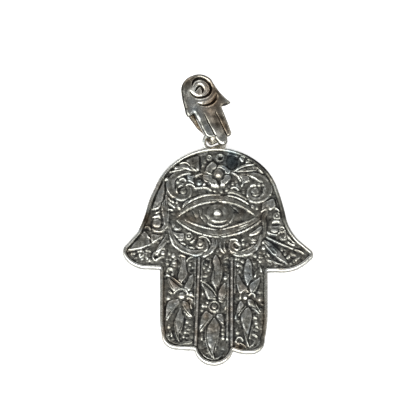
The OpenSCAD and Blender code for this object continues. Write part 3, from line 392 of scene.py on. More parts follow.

# Places that are blacker, by tarnish and painted shade, or, below 0, brighter, by a painted highlight: x,
# y, half width, half height, and by how much
TARNISH_AND_SHEEN = (
    (57, -33, 6, 9, 0.2), (48, -8, 4, 12, 0.12), (-57, 22, 7, 14, -0.1), (32, 52, 10, 6, 0.12),
    (20, 0, 12, 8, 0.1), (-3, -118, 9, 16, 0.06), (30, -110, 7, 16, 0.06), (-44, -128, 10, 4, 0.1),
    (3, -58, 5, 14, 0.07), (-24, 50, 8, 8, 0.07), (36, -89.5, 4.5, 4.5, 0.34), (76, -38, 16, 10, 0.08),
    (57, -33, 3, 12, 0.06), (26, -128, 6, 4, 0.1), (0, 66, 12, 3, 0.1), (-69, -13, 5, 3, 0.3),
    (-66, -19.5, 3, 3, -0.15), (-39, -121, 7, 8, 0.13), (12, 60, 3, 2, 0.35), (21, 57, 3, 2, 0.3),
    (3.5, 54, 4, 2.5, 0.3), (-56, -34, 4, 4, -0.14), (-6.8, 54.5, 2.5, 2, 0.25),
    (-44, -62.5, 7, 2.5, 0.25), (-7, -73, 8, 4, 0.2), (-5, -84, 6, 2, 0.2), (-1.8, -91, 7, 7, 0.15),
    (-73, -26, 7, 4, 0.18), (-16, -28, 4, 4, 0.15), (33, 45.6, 9, 3.2, 0.2), (-22, 52, 6, 4, 0.2),
    (-16.4, 32.6, 2.8, 2.8, 0.26), (34, 49.6, 7, 1.6, -0.2), (44.2, 45, 2.4, 3.6, -0.2),
)

# Lengths of the border darkened by painted shade: x, y, half width, half height, and how black
BORDER_SHADE = ((40, 53, 25, 19, 0.9), (-71, -5, 6, 10, 0.5), (46, -128, 10, 14, 0.35), (66, 0, 8, 26, 0.4))

# The spiral as the small hand's front shows it, in steps from its centre: x, y, width
SPIRAL = (
    (-8.4, 4.6, 1.2), (-7.6, 7.6, 2.2), (-5, 10.6, 2.8), (0, 12.2, 3), (5.6, 10.6, 2.8), (9.8, 6.4, 2.8),
    (11.2, 1.2, 2.8), (9.4, -3, 2.8), (5.2, -5.8, 2.6), (-1.4, -7.2, 2.4), (-6.8, -5.6, 2.2),
    (-10.6, -2.4, 1.4),
)
SPIRAL_TAIL = (
    (16.8, -3.6, 1.2), (16, -8, 2.4), (12.4, -12, 2.6), (7.2, -14.4, 2.4), (1, -14.8, 2),
    (-2, -13.6, 1.2),
)
SPIRAL_EYE = (
    (-5.2, -0.8, 1.4), (-3.2, 2.2, 2.6), (-0.7, 4.4, 3), (1.6, 3.4, 3), (2.8, 0.4, 2.8), (2.2, -2.6, 1.4),
)

# Lines between the small hand's fingers: x at the top, y, x at the bottom, y, reach of the shoulders
SMALL_CUTS = ((-6.4, -23, -4.9, -48, 1.9), (5.6, -25, 6.6, -52, 1.4))

# Left and right edge of the strap above its tongue: y in steps, then x in shares of its width
STRAP_SIDES = (
    (-33, -0.43, 0.12), (-20, -0.52, 0.36), (-6, -0.47, 0.42), (4, -0.4, 0.38), (12, -0.25, 0.26),
)
TONGUE_TOP = -40

# Height of a field so low that its relief never reaches the border
UNREACHED = -9.0

# Tint of the small hand, tarnish and a painted reflection, in steps from its spiral, in the columns of
# TINTS, and its painted shade, in the columns of the hand's table of tarnish and painted light
SMALL_TINTS_AND_REFLECTION = (
    (12, -6, 8, 16, 0.9), (-8, 14, 12, 6, 0.6), (2, -30, 8, 14, 0.6), (-14, -16, 5, 8, -0.4),
    (8, -42, 4, 10, 0.7), (-9, -36, 4, 12, -0.4), (4, -16, 10, 5, 0.5),
)
# Painted shade on the small hand
SMALL_PAINTED_SHADE = (
    (-10, 12, 8, 7, 0.26), (-15, 2, 5, 8, 0.1), (14, -2, 5, 14, 0.3), (-1, 14.5, 6, 2.4, 0.4),
    (4, -34, 5, 14, 0.2), (-9, -30, 4, 8, 0.12), (-21, -3, 3.5, 13, 0.3), (-13, -34, 2, 12, 0.12),
    (10, -38, 3, 14, 0.2), (-8.5, -32, 2.5, 9, 0.2), (-4.4, -31, 2.4, 8, 0.26), (7.6, -36, 2.4, 10, 0.2),
    (18, -22.5, 5, 2, 0.6), (17, -12, 4, 9, 0.2), (1.6, -44, 4, 8, 0.2), (8, -18, 6, 4, 0.1),
    (-13.5, -19.5, 2.5, 3, 0.3),
)

# Softboxes: name, azimuth and elevation in degrees, width and height in mm, brightness, colour
LIGHTS = (
    ("front_light", -96, 38, (520, 200), 3.0, (0.99, 1.0, 0.955)),
    ("back_light", 104, 24, (360, 110), 0.9, (0.97, 0.99, 1.0)),
    ("left_light", -152, 36, (200, 170), 1.3, (0.96, 0.99, 1.0)),
    ("top_light", -130, 60, (260, 240), 0.48, (1.0, 1.0, 0.98)),
    ("right_light", -16, 46, (240, 150), 0.42, (1.0, 0.98, 0.95)),
)


class Seed(IntEnum):
    """Seed of each random surface, so that every run gives the same one."""

    UNEVEN = 3
    CAST = 5
    FINE_CAST = 7
    BAIL = 11
    FIELD = 13
    SHADE = 17
    RUB = 19
    BEADS = 21


class Crest(Enum):
    """Cross-section of what is raised: its height at a share q of the half width, from the middle."""

    BALL = "ball"
    ROOF = "roof"
    FLAT = "flat"
    FLUTE = "flute"

    def shape(self, q: Array) -> Array:
        """Share of the full height at each share of the half width.

        BALL is the upper half of an ellipse. ROOF falls gently, by the power 1.4 of q, and then by a
        smooth step over the outer third. FLAT is level, with a shoulder that falls by a smooth step over
        the outer two fifths. FLUTE is hollow along its middle, a parabola between two crests, and falls
        by a smooth step over the outer fifth.

        Args:
            q: Distance from the middle line over the half width, 0 or more.

        Returns:
            Height between 0 and 1, and 0 where q is above 1.
        """
        if self is Crest.BALL:
            return np.sqrt(np.clip(1 - q * q, 0, 1))
        if self is Crest.ROOF:
            return 0.52 * smooth_step((1 - q) / 0.3) + 0.48 * (1 - np.clip(q, 0, 1) ** 1.4)
        if self is Crest.FLAT:
            return smooth_step((1 - q) / 0.4)
        return smooth_step((1 - q) / 0.22) * (0.62 + 0.38 * np.clip(q / 0.82, 0, 1) ** 2)


def smooth_step(t: Array) -> Array:
    """Cubic that rises from 0 to 1 with level ends, 3t^2 - 2t^3, for t held between 0 and 1."""
    t = np.clip(t, 0, 1)
    return t * t * (3 - 2 * t)


def arc_through(start: Array, middle: Array, end: Array, count: int) -> Array:
    """Points on the circle through three points, or on a straight line where they nearly line up.

    The centre is where the two chords' perpendicular bisectors cross. The angle runs evenly from the
    first point to the last, on the side of the middle one.

    Args:
        start: First point.
        middle: A point between.
        end: Last point.
        count: Number of points, both ends included.

    Returns:
        Array of count points.
    """
    t = np.linspace(0, 1, count)[:, None]
    p, q = middle - start, end - start
    cross = 2 * (p[0] * q[1] - p[1] * q[0])
    if abs(cross) < NEARLY_STRAIGHT * (q @ q):
        return start + q * t
    away = np.array([q[1] * (p @ p) - p[1] * (q @ q), p[0] * (q @ q) - q[0] * (p @ p)])
    centre = start + away / cross
    turns = [math.atan2(*(point - centre)[::-1]) for point in (start, middle, end)]
    sweep = (turns[2] - turns[0]) % math.tau
    if (turns[1] - turns[0]) % math.tau > sweep:
        sweep -= math.tau
    angle = turns[0] + sweep * t
    radius = np.linalg.norm(start - centre)
    return centre + radius * np.hstack([np.cos(angle), np.sin(angle)])


def smooth_line(knots: Array, per_span: int, closed: bool = False) -> Array:
    """Smooth line through knots, a Catmull-Rom spline in every column.

    Between two knots it is the cubic that has each knot's slope equal to half the difference of the
    knots beside it.

    Args:
        knots: Rows of numbers; the first two are x and y.
        per_span: Points for each stretch between two knots.
        closed: Whether the last knot joins the first.

    Returns:
        Rows of the same columns along the line.
    """
    if closed:
        padded = np.vstack([knots[-1], knots, knots[:2]])
        knots = padded[1:-1]
    else:
        padded = np.vstack([2 * knots[0] - knots[1], knots, 2 * knots[-1] - knots[-2]])
    before, here, ahead, beyond = padded[:-3], padded[1:-2], padded[2:-1], padded[3:]
    t = (np.arange(per_span) / per_span)[None, :, None]
    a, b, c, d = (part[:, None, :] for part in (before, here, ahead, beyond))
    spans = 0.5 * (2 * b + (c - a) * t + (2 * a - 5 * b + 4 * c - d) * t**2
                   + (3 * b - a - 3 * c + d) * t**3)
    return np.vstack([spans.reshape(-1, knots.shape[1]), knots[-1]])


def closed_outline(rows: Sequence[Row], scale: Array, pace: float, round_off: float) -> Array:
    """Closed outline through a table of knots, with an arc from each knot to the next.

    The arcs are joined, spaced evenly at the pace, and rounded at the knots by a circular Gaussian
    average of their points.

    Args:
        rows: Rows of knot x, y and middle x, y, in steps.
        scale: Length of a step in x and in y, in mm.
        pace: Distance between points, in mm.
        round_off: Standard deviation of the average, in mm.

    Returns:
        Points in mm, in the table's order.
    """
    table = np.array(rows, float)
    knots, middles = table[:, :2] * scale, table[:, 2:] * scale
    spans = zip(knots, middles, np.roll(knots, -1, 0))
    arcs = [arc_through(first, middle, last, ARC_POINTS)[:-1] for first, middle, last in spans]
    line = spaced_evenly(np.vstack(arcs), pace)
    wave = np.fft.fft(line, axis=0)
    beat = np.fft.fftfreq(len(line))[:, None]
    return np.fft.ifft(wave * np.exp(-2 * (math.pi * beat * round_off / pace) ** 2), axis=0).real


def spaced_evenly(loop: Array, pace: float, weight: Array | None = None) -> Array:
    """Closed line with its points spaced by the same length, or by the same share of a weight.

    Args:
        loop: Points of a closed line.
        pace: Distance between points, where the weight is 1.
        weight: How much closer the points stand after each point, or None.

    Returns:
        Points in the same order.
    """
    closed = np.vstack([loop, loop[:1]])
    step = np.linalg.norm(np.diff(closed, axis=0), axis=1)
    along = np.concatenate([[0], np.cumsum(step if weight is None else step * weight)])
    count = max(8, round(along[-1] / pace))
    places = np.arange(0, along[-1], along[-1] / count)[:count]
    return np.stack([np.interp(places, along, closed[:, k]) for k in range(closed.shape[1])], -1)


def sideways(line: Array) -> Array:
    """Unit way to the right of a line, at each of its points."""
    side = np.gradient(line, axis=0)[:, ::-1] * (1, -1)
    return side / np.maximum(np.linalg.norm(side, axis=1), TINY)[:, None]


def ring_of_points(angle: Array) -> Array:
    """Points on the unit circle at angles, in rows of x and y."""
    return np.stack([np.cos(angle), np.sin(angle)], -1)


def blurred(heights: Array, sigma: float, upright: float | None = None) -> Array:
    """Gaussian average of a lattice: its Fourier transform times exp(-2 (pi sigma f)^2), turned back.

    Args:
        heights: Lattice of numbers.
        sigma: Standard deviation in lattice steps.
        upright: Standard deviation along the columns, where it differs.

    Returns:
        Lattice of the same size.
    """
    rows, columns = heights.shape
    beat_y = np.fft.fftfreq(rows)[:, None] * (sigma if upright is None else upright)
    beat_x = np.fft.rfftfreq(columns)[None, :] * sigma
    kept = np.exp(-2 * math.pi**2 * (beat_x**2 + beat_y**2))
    return np.fft.irfft2(np.fft.rfft2(heights) * kept, s=heights.shape)


def grain(shape: tuple[int, int], sigma: float, seed: int, upright: float | None = None) -> Array:
    """Smooth random lattice: white noise under a Gaussian average, scaled to a standard deviation of 1.

    Args:
        shape: Rows and columns.
        sigma: Size of its grains in lattice steps.
        seed: Seed of the random numbers.
        upright: Size of its grains along the columns, where it differs.

    Returns:
        Lattice of numbers about 0.
    """
    noise = blurred(np.random.default_rng(seed).standard_normal(shape), sigma, upright)
    return noise / noise.std()


@dataclass
class Relief:
    """Lattice of heights above a field, on which the ornaments are raised and cut.

    Attributes:
        low: Lower left corner in mm.
        high: Upper right corner in mm.
        pitch: Lattice step in mm.
        trough_w: How far the trough beside a ridge reaches past the ridge's foot, in mm.
        dip: Depth of the trough round a plate or a bead, in mm.
        guides: Lines of mesh points along crests and feet, in mm.
        xs: Place of each column in mm.
        ys: Place of each row in mm.
        heights: Height above the field in mm.
        soot: How black the oxide lies, from 0 to 1.
        dull: How dark a raised top stays at least, from 0 to 1.
        rubbed: How far a top is rubbed bright, 0 or more.
    """

    low: Array
    high: Array
    pitch: float = 0.05
    trough_w: float = 0.16
    dip: float = 0.05
    guides: list[Array] = field(default_factory=list)
    xs: Array = field(init=False)
    ys: Array = field(init=False)
    heights: Array = field(init=False)
    soot: Array = field(init=False)
    dull: Array = field(init=False)
    rubbed: Array = field(init=False)

    def __post_init__(self) -> None:
        """Lays out the lattice, level and clean."""
        self.xs = np.arange(self.low[0], self.high[0], self.pitch)
        self.ys = np.arange(self.low[1], self.high[1], self.pitch)
        self.heights = np.zeros((len(self.ys), len(self.xs)))
        self.soot = np.zeros_like(self.heights)
        self.dull = np.zeros_like(self.heights)
        self.rubbed = np.zeros_like(self.heights)

    def grain(self, sigma: float, seed: int, upright: float | None = None) -> Array:
        """Random lattice of the relief's size, as the function of that name gives it."""
        return grain(self.heights.shape, sigma, seed, upright)

    def window(self, low: Array, high: Array) -> Window:
        """Part of the lattice between two corners.

        Args:
            low: Lower left corner in mm.
            high: Upper right corner in mm.

        Returns:
            Its rows and its columns.
        """
        columns = slice(*np.searchsorted(self.xs, [low[0], high[0]]))
        rows = slice(*np.searchsorted(self.ys, [low[1], high[1]]))
        return rows, columns

    def offsets(self, window: Window, x: float, y: float) -> tuple[Array, Array]:
        """How far the columns and the rows of a window lie from a place, in mm."""
        return self.xs[window[1]][None, :] - x, self.ys[window[0]][:, None] - y

    def closeness(self, line: Array, half: Array, reach: float = 1) -> tuple[Window, Array, Array]:
        """Where a line of changing width passes: distance over half width, and the half width there.

        For each lattice point and each straight piece of the line, the nearest point on the piece has
        the share t along it, held between 0 and 1. The half width there is the mix of its two ends'.

        Args:
            line: Points of the line.
            half: Half width at each point.
            reach: How many half widths the window reaches past the line.

        Returns:
            The window, the least distance over half width, and the half width at that place.
        """
        margin = half.max() * reach + self.pitch
        window = self.window(line.min(0) - margin, line.max(0) + margin)
        x = self.xs[window[1]][None, :, None]
        y = self.ys[window[0]][:, None, None]
        step = np.diff(line, axis=0)
        length = np.maximum((step * step).sum(1), TINY_SQUARE)
        t = np.clip(((x - line[:-1, 0]) * step[:, 0] + (y - line[:-1, 1]) * step[:, 1]) / length, 0, 1)
        away = np.hypot(x - line[:-1, 0] - t * step[:, 0], y - line[:-1, 1] - t * step[:, 1])
        width = np.maximum(half[:-1] + t * np.diff(half), LEAST_WIDTH)
        share = away / width
        nearest = share.argmin(2)[:, :, None]
        least, there = (np.take_along_axis(part, nearest, 2)[:, :, 0] for part in (share, width))
        return window, least, there

    def guide(self, line: Array, half: Array | float, shares: Row) -> None:
        """Notes lines of mesh points along a line.

        Args:
            line: Points of the line in mm.
            half: Half width, or one at each point, in mm.
            shares: How many half widths each of them lies to the right, below 0 to the left.
        """
        side = sideways(line)
        self.guides += [line + side * np.reshape(half, (-1, 1)) * share for share in shares]

    def lift(self, lattice: Array, window: Window, values: Array) -> None:
        """Raises a part of a lattice to the values, where it is below them."""
        lattice[window] = np.maximum(lattice[window], values)

    def ridge(self, line: Array, half: Array, height: float, crest: Crest, sink: float = 0,
              dull: float = 0, rub: float = 0) -> None:
        """Raises a ridge of changing width, lower where it is narrower.

        The height is the crest's shape times the root of the width over the greatest width, and it
        counts where it is above what stands there. A trough may run along both feet.

        Args:
            line: Middle line in mm.
            half: Half width at each point of it, in mm.
            height: Greatest height in mm.
            crest: Cross-section.
            sink: Depth of the trough beside it, in mm.
            dull: How dark its top stays at least, from 0 to 1.
            rub: How far its top is rubbed bright, 0 or more.
        """
        if sink:
            window, share, _ = self.closeness(line, half + self.trough_w, 1.2)
            self.heights[window] -= sink * smooth_step(1.35 - share)
        window, share, width = self.closeness(line, half)
        self.lift(self.heights, window, height * np.sqrt(width / half.max()) * crest.shape(share))
        self.soot[window] *= smooth_step(3 * share - 2)
        top = share < 0.9
        self.lift(self.dull, window, np.where(top, dull, 0))
        self.lift(self.rubbed, window, np.where(top, rub, 0))
        self.guide(line, half, (0, 0.7, -0.7, 1.05, -1.05) if crest is Crest.ROOF else (0.8, -0.8, 1, -1))

    def plate(self, loop: Array, height: float, bevel: float) -> None:
        """Raises a body with a flat, slightly domed top and bevelled sides, and a trough round it.

        The height is a smooth step of the distance inside the loop over the bevel's width, and up to
        three tenths more towards the middle, as a root. The trough falls off with the distance outside.

        Args:
            loop: Points of the closed line, the first one again at the end.
            height: Height in mm.
            bevel: Width of its sides in mm.
        """
        window, share, _ = self.closeness(loop, np.full(len(loop), bevel), 1.2)
        inside = self.inside(loop[:-1])[window]
        self.heights[window] -= np.where(inside, 0, self.dip * smooth_step(1 - share))
        rise = height * (smooth_step(share) + 0.3 * np.sqrt(np.clip((share - 1) / 5, 0, 1)))
        self.lift(self.heights, window, np.where(inside, rise, -np.inf))
        self.lift(self.rubbed, window, np.where(inside, smooth_step(share - 0.6), 0))
        self.guide(loop, bevel, (0, 0.6, -0.6))

    def bead(self, x: float, y: float, radius: float, height: float, dull: float = 0,
             lean: float = 0) -> None:
        """Raises a round bead, the upper half of an ellipsoid.

        Args:
            x: Centre in mm.
            y: Centre in mm.
            radius: Radius in mm.
            height: Height of the bead in mm.
            dull: How dark its top stays at least, from 0 to 1.
            lean: Slope of its top, which falls towards -y.
        """
        centre = np.array([x, y])
        window = self.window(centre - radius * 1.4, centre + radius * 1.4)
        dx, dy = self.offsets(window, x, y)
        q = np.hypot(dx, dy) / radius
        self.heights[window] -= self.dip * np.exp(-(((q - 1.1) / 0.16) ** 2))
        rise = height * Crest.BALL.shape(q) + lean * dy * smooth_step((1 - q) * 2)
        self.lift(self.heights, window, rise)
        self.dull[window] = np.where(q < 1, dull, self.dull[window])
        angle = np.arange(0, math.tau, 0.12 / radius)
        self.guides += [centre + radius * share * ring_of_points(angle) for share in (0.55, 1)]

    def oval(self, x: float, y: float, half: Array, height: float, soft: float, soot: float = 0) -> None:
        """Raises or, with a negative height, sinks an oval with soft sides.

        The height is a smooth step of how far inside the oval a point is, 1 - (x/a)^2 - (y/b)^2.

        Args:
            x: Centre in mm.
            y: Centre in mm.
            half: Half width and half height in mm.
            height: Height in mm, or minus the depth.
            soft: Share over which the side rises.
            soot: How black its floor is, from 0 to 1.
        """
        centre = np.array([x, y])
        window = self.window(centre - half, centre + half)
        dx, dy = self.offsets(window, x, y)
        dx, dy = dx / half[0], dy / half[1]
        inside = smooth_step((1 - dx * dx - dy * dy) / soft)
        if height < 0:
            self.heights[window] += (height - self.heights[window]) * inside
        else:
            self.lift(self.heights, window, height * inside)
        self.lift(self.soot, window, soot * inside)

    def cut(self, line: Array, half: Array, depth: float, soot: float = 0.9) -> None:
        """Cuts a rounded groove along a line and blackens it.

        Args:
            line: Middle line in mm.
            half: Half width at each point of it, in mm.
            depth: Depth in mm.
            soot: How black its floor is, from 0 to 1.
        """
        window, share, _ = self.closeness(line, half)
        self.heights[window] -= depth * smooth_step((1 - share) * 1.6)
        self.lift(self.soot, window, soot * smooth_step((1 - share) * 2))
        self.guide(line, half, (0, 0.7, -0.7, 1.1, -1.1))

    def at(self, lattice: Array, points: Array) -> Array:
        """Value of a lattice at points, mixed in x and in y from the four lattice points around each.

        Args:
            lattice: Rows and columns as heights has.
            points: Rows of x and y in mm.

        Returns:
            One value a point.
        """
        u = np.clip((points[:, 0] - self.xs[0]) / self.pitch, 0, len(self.xs) - 1.001)
        v = np.clip((points[:, 1] - self.ys[0]) / self.pitch, 0, len(self.ys) - 1.001)
        i, j = u.astype(int), v.astype(int)
        u, v = u - i, v - j
        upper = lattice[j + 1, i] * (1 - u) + lattice[j + 1, i + 1] * u
        return (lattice[j, i] * (1 - u) + lattice[j, i + 1] * u) * (1 - v) + upper * v

    def inwards(self, depth: Array, points: Array) -> Array:
        """Unit way inwards from the edge beside each point, the way in which the distance inside grows.

        Args:
            depth: Distance inside the edge, on the lattice.
            points: Rows that start with x and y, in mm.

        Returns:
            Rows of x and y.
        """
        along_y, along_x = np.gradient(blurred(depth, 3))
        way = np.stack([self.at(lattice, points) for lattice in (along_x, along_y)], -1)
        return way / np.maximum(np.linalg.norm(way, axis=1), TINY)[:, None]

    def inside(self, loop: Array) -> Array:
        """True at the lattice points inside a closed line.

        Along each row of the lattice, the line's crossings to the left of a point are counted; an odd
        count is inside.

        Args:
            loop: Points of the closed line.

        Returns:
            Lattice of truth values.
        """
        ends = np.roll(loop, -1, 0)
        first = np.searchsorted(self.ys, np.minimum(loop[:, 1], ends[:, 1]), "right")
        last = np.searchsorted(self.ys, np.maximum(loop[:, 1], ends[:, 1]), "right")
        count = last - first
        piece = np.repeat(np.arange(len(loop)), count)
        row = np.arange(count.sum()) - np.repeat(np.cumsum(count) - count, count) + np.repeat(first, count)
        t = (self.ys[row] - loop[piece, 1]) / (ends[piece, 1] - loop[piece, 1])
        crossing = loop[piece, 0] + t * (ends[piece, 0] - loop[piece, 0])
        toggles = np.zeros((len(self.ys), len(self.xs) + 1), int)
        np.add.at(toggles, (row, np.searchsorted(self.xs, crossing)), 1)
        return np.cumsum(toggles, 1)[:, :-1] % 2 == 1

    def depth_inside(self, loop: Array, limit: float) -> Array:
        """Distance from a closed line to the lattice points inside it, up to a limit, and 0 outside.

        Each stretch of a few straight pieces lowers the distance in the window that it can reach.

        Args:
            loop: Points of the closed line, not too close together.
            limit: Greatest distance told apart, in mm.

        Returns:
            Lattice of distances in mm.
        """
        pieces = 6
        away = np.full(self.heights.shape, float(limit))
        for start in range(0, len(loop), pieces):
            line = loop[np.arange(start, start + pieces + 1) % len(loop)]
            window, share, _ = self.closeness(line, np.full(len(line), limit))
            away[window] = np.minimum(away[window], share * limit)
        return np.where(self.inside(loop), away, 0)


@dataclass
class Casting:
    """A flat casting: an outline, a border profile that runs round it, and a front in relief.

    Attributes:
        loop: Outline in mm, with its inside on the right of its way.
        relief: Lattice of heights above the field.
        profile: Rows of distance inside the outline and height, from the wall's top inwards.
        wall: Rows of distance inside the outline and height, from the wall's top down to the back.
        field_z: Height of the field in mm.
        pace: Distance between points along the outline in mm.
        fine: Distance between points where the relief is curved, in mm.
        coarse: Distance between points elsewhere on the front, in mm.
        ground: Gives the height under the relief at a distance inside the outline, or None for the field.
        back_pace: Distance between points on the back in mm.
        samples: Points of the mesh along the outline.
        depth: Distance inside the outline, on the lattice.
    """

    loop: Array
    relief: Relief
    profile: Array
    wall: Array
    field_z: float
    pace: float
    fine: float
    coarse: float
    ground: Callable[[Array], Array] | None = None
    back_pace: float = 1.1
    samples: Array = field(init=False)
    depth: Array = field(init=False)

    def __post_init__(self) -> None:
        """Places points along the outline, closer together where it turns, and measures from it."""
        way = np.roll(self.loop, -1, 0) - self.loop
        heading = np.unwrap(np.arctan2(way[:, 1], way[:, 0]))
        whole = round((heading[-1] - heading[0]) / math.tau) * math.tau
        bend = np.abs(np.diff(heading, append=heading[0] + whole)) / np.linalg.norm(way, axis=1)
        kept = np.exp(-2 * (math.pi * np.fft.fftfreq(len(bend)) * 6) ** 2)
        spread = np.abs(np.fft.ifft(np.fft.fft(bend) * kept))
        border = self.profile[:, 0].max()
        self.samples = spaced_evenly(self.loop, self.pace, 1 + border * spread)
        self.depth = self.relief.depth_inside(spaced_evenly(self.loop, 0.2), border + 1)

    def rows(self, table: Array) -> Array:
        """Rings of points round the casting, one for each row of a profile.

        Each point of the outline moves inwards along its normal by the row's distance and to the
        row's height.

        Args:
            table: Rows of distance inside the outline and height.

        Returns:
            Array of rings, points and x, y, z.
        """
        way = np.roll(self.samples, -1, 0) - np.roll(self.samples, 1, 0)
        inward = np.stack([way[:, 1], -way[:, 0]], -1) / np.linalg.norm(way, axis=1)[:, None]
        flat = self.samples[None] + inward[None] * table[:, 0][:, None, None]
        height = np.broadcast_to(table[:, 1][:, None, None], flat.shape[:2] + (1,))
        return np.concatenate([flat, height], 2)

    def border_rings(self) -> Array:
        """Rings of the border; the inner ones stay above the relief that reaches under them.

        Returns:
            Array of rings, points and x, y, z.
        """
        rings = self.rows(self.profile)
        flat = rings[1:, :, :2].reshape(-1, 2)
        relief = self.field_z + self.relief.at(self.relief.heights, flat).reshape(len(rings) - 1, -1)
        inner = self.profile[1:, 0, None] > 0.7 * self.profile[:, 0].max()
        rings[1:, :, 2] = np.maximum(rings[1:, :, 2], np.where(inner, relief, -np.inf))
        return rings

    def lattice(self, spacing: float, lean: bool = True) -> Array:
        """Points of a lattice over the relief.

        Args:
            spacing: Distance between neighbours in mm.
            lean: Whether it is made of even triangles, with every other row shifted, or of squares.

        Returns:
            Rows of x and y in mm.
        """
        low, high = self.relief.low, self.relief.high
        x, y = np.meshgrid(np.arange(low[0], high[0], spacing),
                           np.arange(low[1], high[1], spacing * math.sqrt(0.75) if lean else spacing))
        if lean:
            x = x + np.where(np.arange(len(x)) % 2, spacing / 2, 0)[:, None]
        return np.stack([x.ravel(), y.ravel()], -1)

    def inner_points(self) -> Array:
        """Mesh points inside the border: along the guides, and on a fine or a coarse lattice.

        The fine lattice is kept where the relief is curved, the coarse one elsewhere, and both keep
        off the guides.

        Returns:
            Rows of x and y in mm.
        """
        relief = self.relief
        limit = self.profile[:, 0].max() + 0.05
        curved = np.abs(relief.heights - blurred(relief.heights, 3)) > 0.012
        detail = (blurred(curved.astype(float), 2) > 0.12).astype(float)
        cell = self.fine * 0.62
        taken = np.zeros(((relief.high - relief.low) / cell).astype(int) + 4, bool)
        groups = [np.vstack(relief.guides)]
        for spacing, wanted in ((self.fine, True), (self.coarse, False)):
            points = self.lattice(spacing)
            groups.append(points[(relief.at(detail, points) > 0.5) == wanted])
        kept = []
        for points in groups:
            points = points[relief.at(self.depth, points) > limit]
            place = ((points - relief.low) / cell).astype(int) + 1
            _, once = np.unique(place[:, 0] * taken.shape[1] + place[:, 1], return_index=True)
            points, place = points[once], place[once]
            free = ~taken[place[:, 0], place[:, 1]]
            points, place = points[free], place[free]
            kept.append(points)
            for dx, dy in product((-1, 0, 1), repeat=2):
                taken[place[:, 0] + dx, place[:, 1] + dy] = True
        return np.vstack(kept)

    def front(self) -> tuple[Array, Array]:
        """Points and triangles of the front: the border's rings, and what lies inside them.

        Returns:
            Points in mm, the outline's first, and triangles.
        """
        inner = self.inner_points()
        ground = self.field_z if self.ground is None else self.ground(self.relief.at(self.depth, inner))
        height = ground + self.relief.at(self.relief.heights, inner)
        points = np.vstack([self.border_rings().reshape(-1, 3), np.column_stack([inner, height])])
        return points, plan_triangles(points[:, :2], len(self.samples))

    def back(self, edge: Array) -> tuple[Array, Array]:
        """Level back inside the wall's last ring.

        Args:
            edge: Points of that ring.

        Returns:
            The points inside it, and triangles that count the ring's points first.
        """
        inset, height = self.wall[-1]
        flat = self.lattice(self.back_pace, False)
        flat = flat[self.relief.at(self.depth, flat) > inset + 0.4]
        faces = plan_triangles(np.vstack([edge[:, :2], flat]), len(edge))[:, ::-1]
        return np.column_stack([flat, np.full(len(flat), height)]), faces

    def build(self) -> tuple[Array, Array]:
        """Whole closed surface: front, border, wall and back.

        The front's points are triangulated in plan, bounded by the outline. The wall's rings are
        joined by quads cut in two, and the back is triangulated in plan inside the last ring.

        Returns:
            Points in mm and triangles.
        """
        count = len(self.samples)
        front, faces = self.front()
        below = self.rows(self.wall[1:]).reshape(-1, 3)
        inside, back = self.back(below[-count:])
        rings = [np.arange(count)]
        rings += [len(front) + k * count + np.arange(count) for k in range(len(self.wall) - 1)]
        number = np.concatenate([rings[-1], len(front) + len(below) + np.arange(len(inside))])
        points = np.vstack([front, below, inside])
        return points, outwards(points, np.vstack([faces, wall_faces(rings), number[back]]), len(faces))


def wall_faces(rings: Sequence[Array]) -> Array:
    """Triangles between rings that lie below each other, each quad cut in two.

    Args:
        rings: Point numbers of each ring, from the top.

    Returns:
        Three point numbers a face.
    """
    faces = []
    for upper, lower in zip(rings[:-1], rings[1:]):
        upper_next, lower_next = np.roll(upper, -1), np.roll(lower, -1)
        faces += [np.stack([upper, upper_next, lower], -1), np.stack([upper_next, lower_next, lower], -1)]
    return np.vstack(faces)


def outwards(points: Array, faces: Array, front: int) -> Array:
    """Turns all faces round where the front's faces look down.

    Args:
        points: Points of a closed surface.
        faces: Its triangles, all turned the same way.
        front: How many of the first triangles look up when they are right.

    Returns:
        The triangles, looking outwards.
    """
    return faces if turning(points, faces[:front]).sum() > 0 else faces[:, ::-1]


def linked(name: str, data: bpy.types.ID) -> bpy.types.Object:
    """New object in the scene.

    Args:
        name: Its name.
        data: What it shows.

    Returns:
        The object.
    """
    obj = bpy.data.objects.new(name, data)
    bpy.context.scene.collection.objects.link(obj)
    return obj


def turning(points: Array, triangles: Array) -> Array:
    """Twice the area in plan of each triangle, above 0 where it turns to the left."""
    a, b, c = (points[triangles[:, k], :2] for k in range(3))
    return (b - a)[:, 0] * (c - a)[:, 1] - (b - a)[:, 1] * (c - a)[:, 0]


def plan_triangles(points: Array, count: int) -> Array:
    """Triangles between points in plan, inside the closed outline that the first points make.

    The plane is triangulated with the outline's edges kept. A triangle of three outline points lies
    outside where they turn one way in the outline's order and the outline turns the other way.

    Args:
        points: Rows of x and y, the outline's first.
        count: Number of points on the outline.

    Returns:
        Triangles as point numbers, turned to the left.
    """
    edges = np.stack([np.arange(count), (np.arange(count) + 1) % count], -1)
    _, _, faces, origin, _, _ = delaunay_2d_cdt(points.tolist(), edges.tolist(), [], 0, 1e-7, True)
    triangles = np.array([source[0] for source in origin])[np.array(faces)]
    loop = points[:count]
    way = (loop[:, 0] * np.roll(loop[:, 1], -1) - loop[:, 1] * np.roll(loop[:, 0], -1)).sum()
    pocket = (triangles.max(1) < count) & (turning(points, np.sort(triangles, 1)) * way < 0)
    triangles = triangles[~pocket]
    return np.where((turning(points, triangles) < 0)[:, None], triangles[:, ::-1], triangles)


def spots(points: Array, table: Sequence[Row], scale: Array) -> Array:
    """Sum of soft spots at points: each is its strength times exp(-(x/a)^2 - (y/b)^2).

    Args:
        points: Rows that start with x and y, in mm.
        table: Rows of x, y, half width, half height and strength, in steps.
        scale: Length of a step in x and in y, in mm.

    Returns:
        One value a point.
    """
    rows = np.array(table, float)
    away = (points[:, None, :2] / scale - rows[:, :2]) / rows[:, 2:4]
    return (rows[:, 4] * np.exp(-(away**2).sum(2))).sum(1)


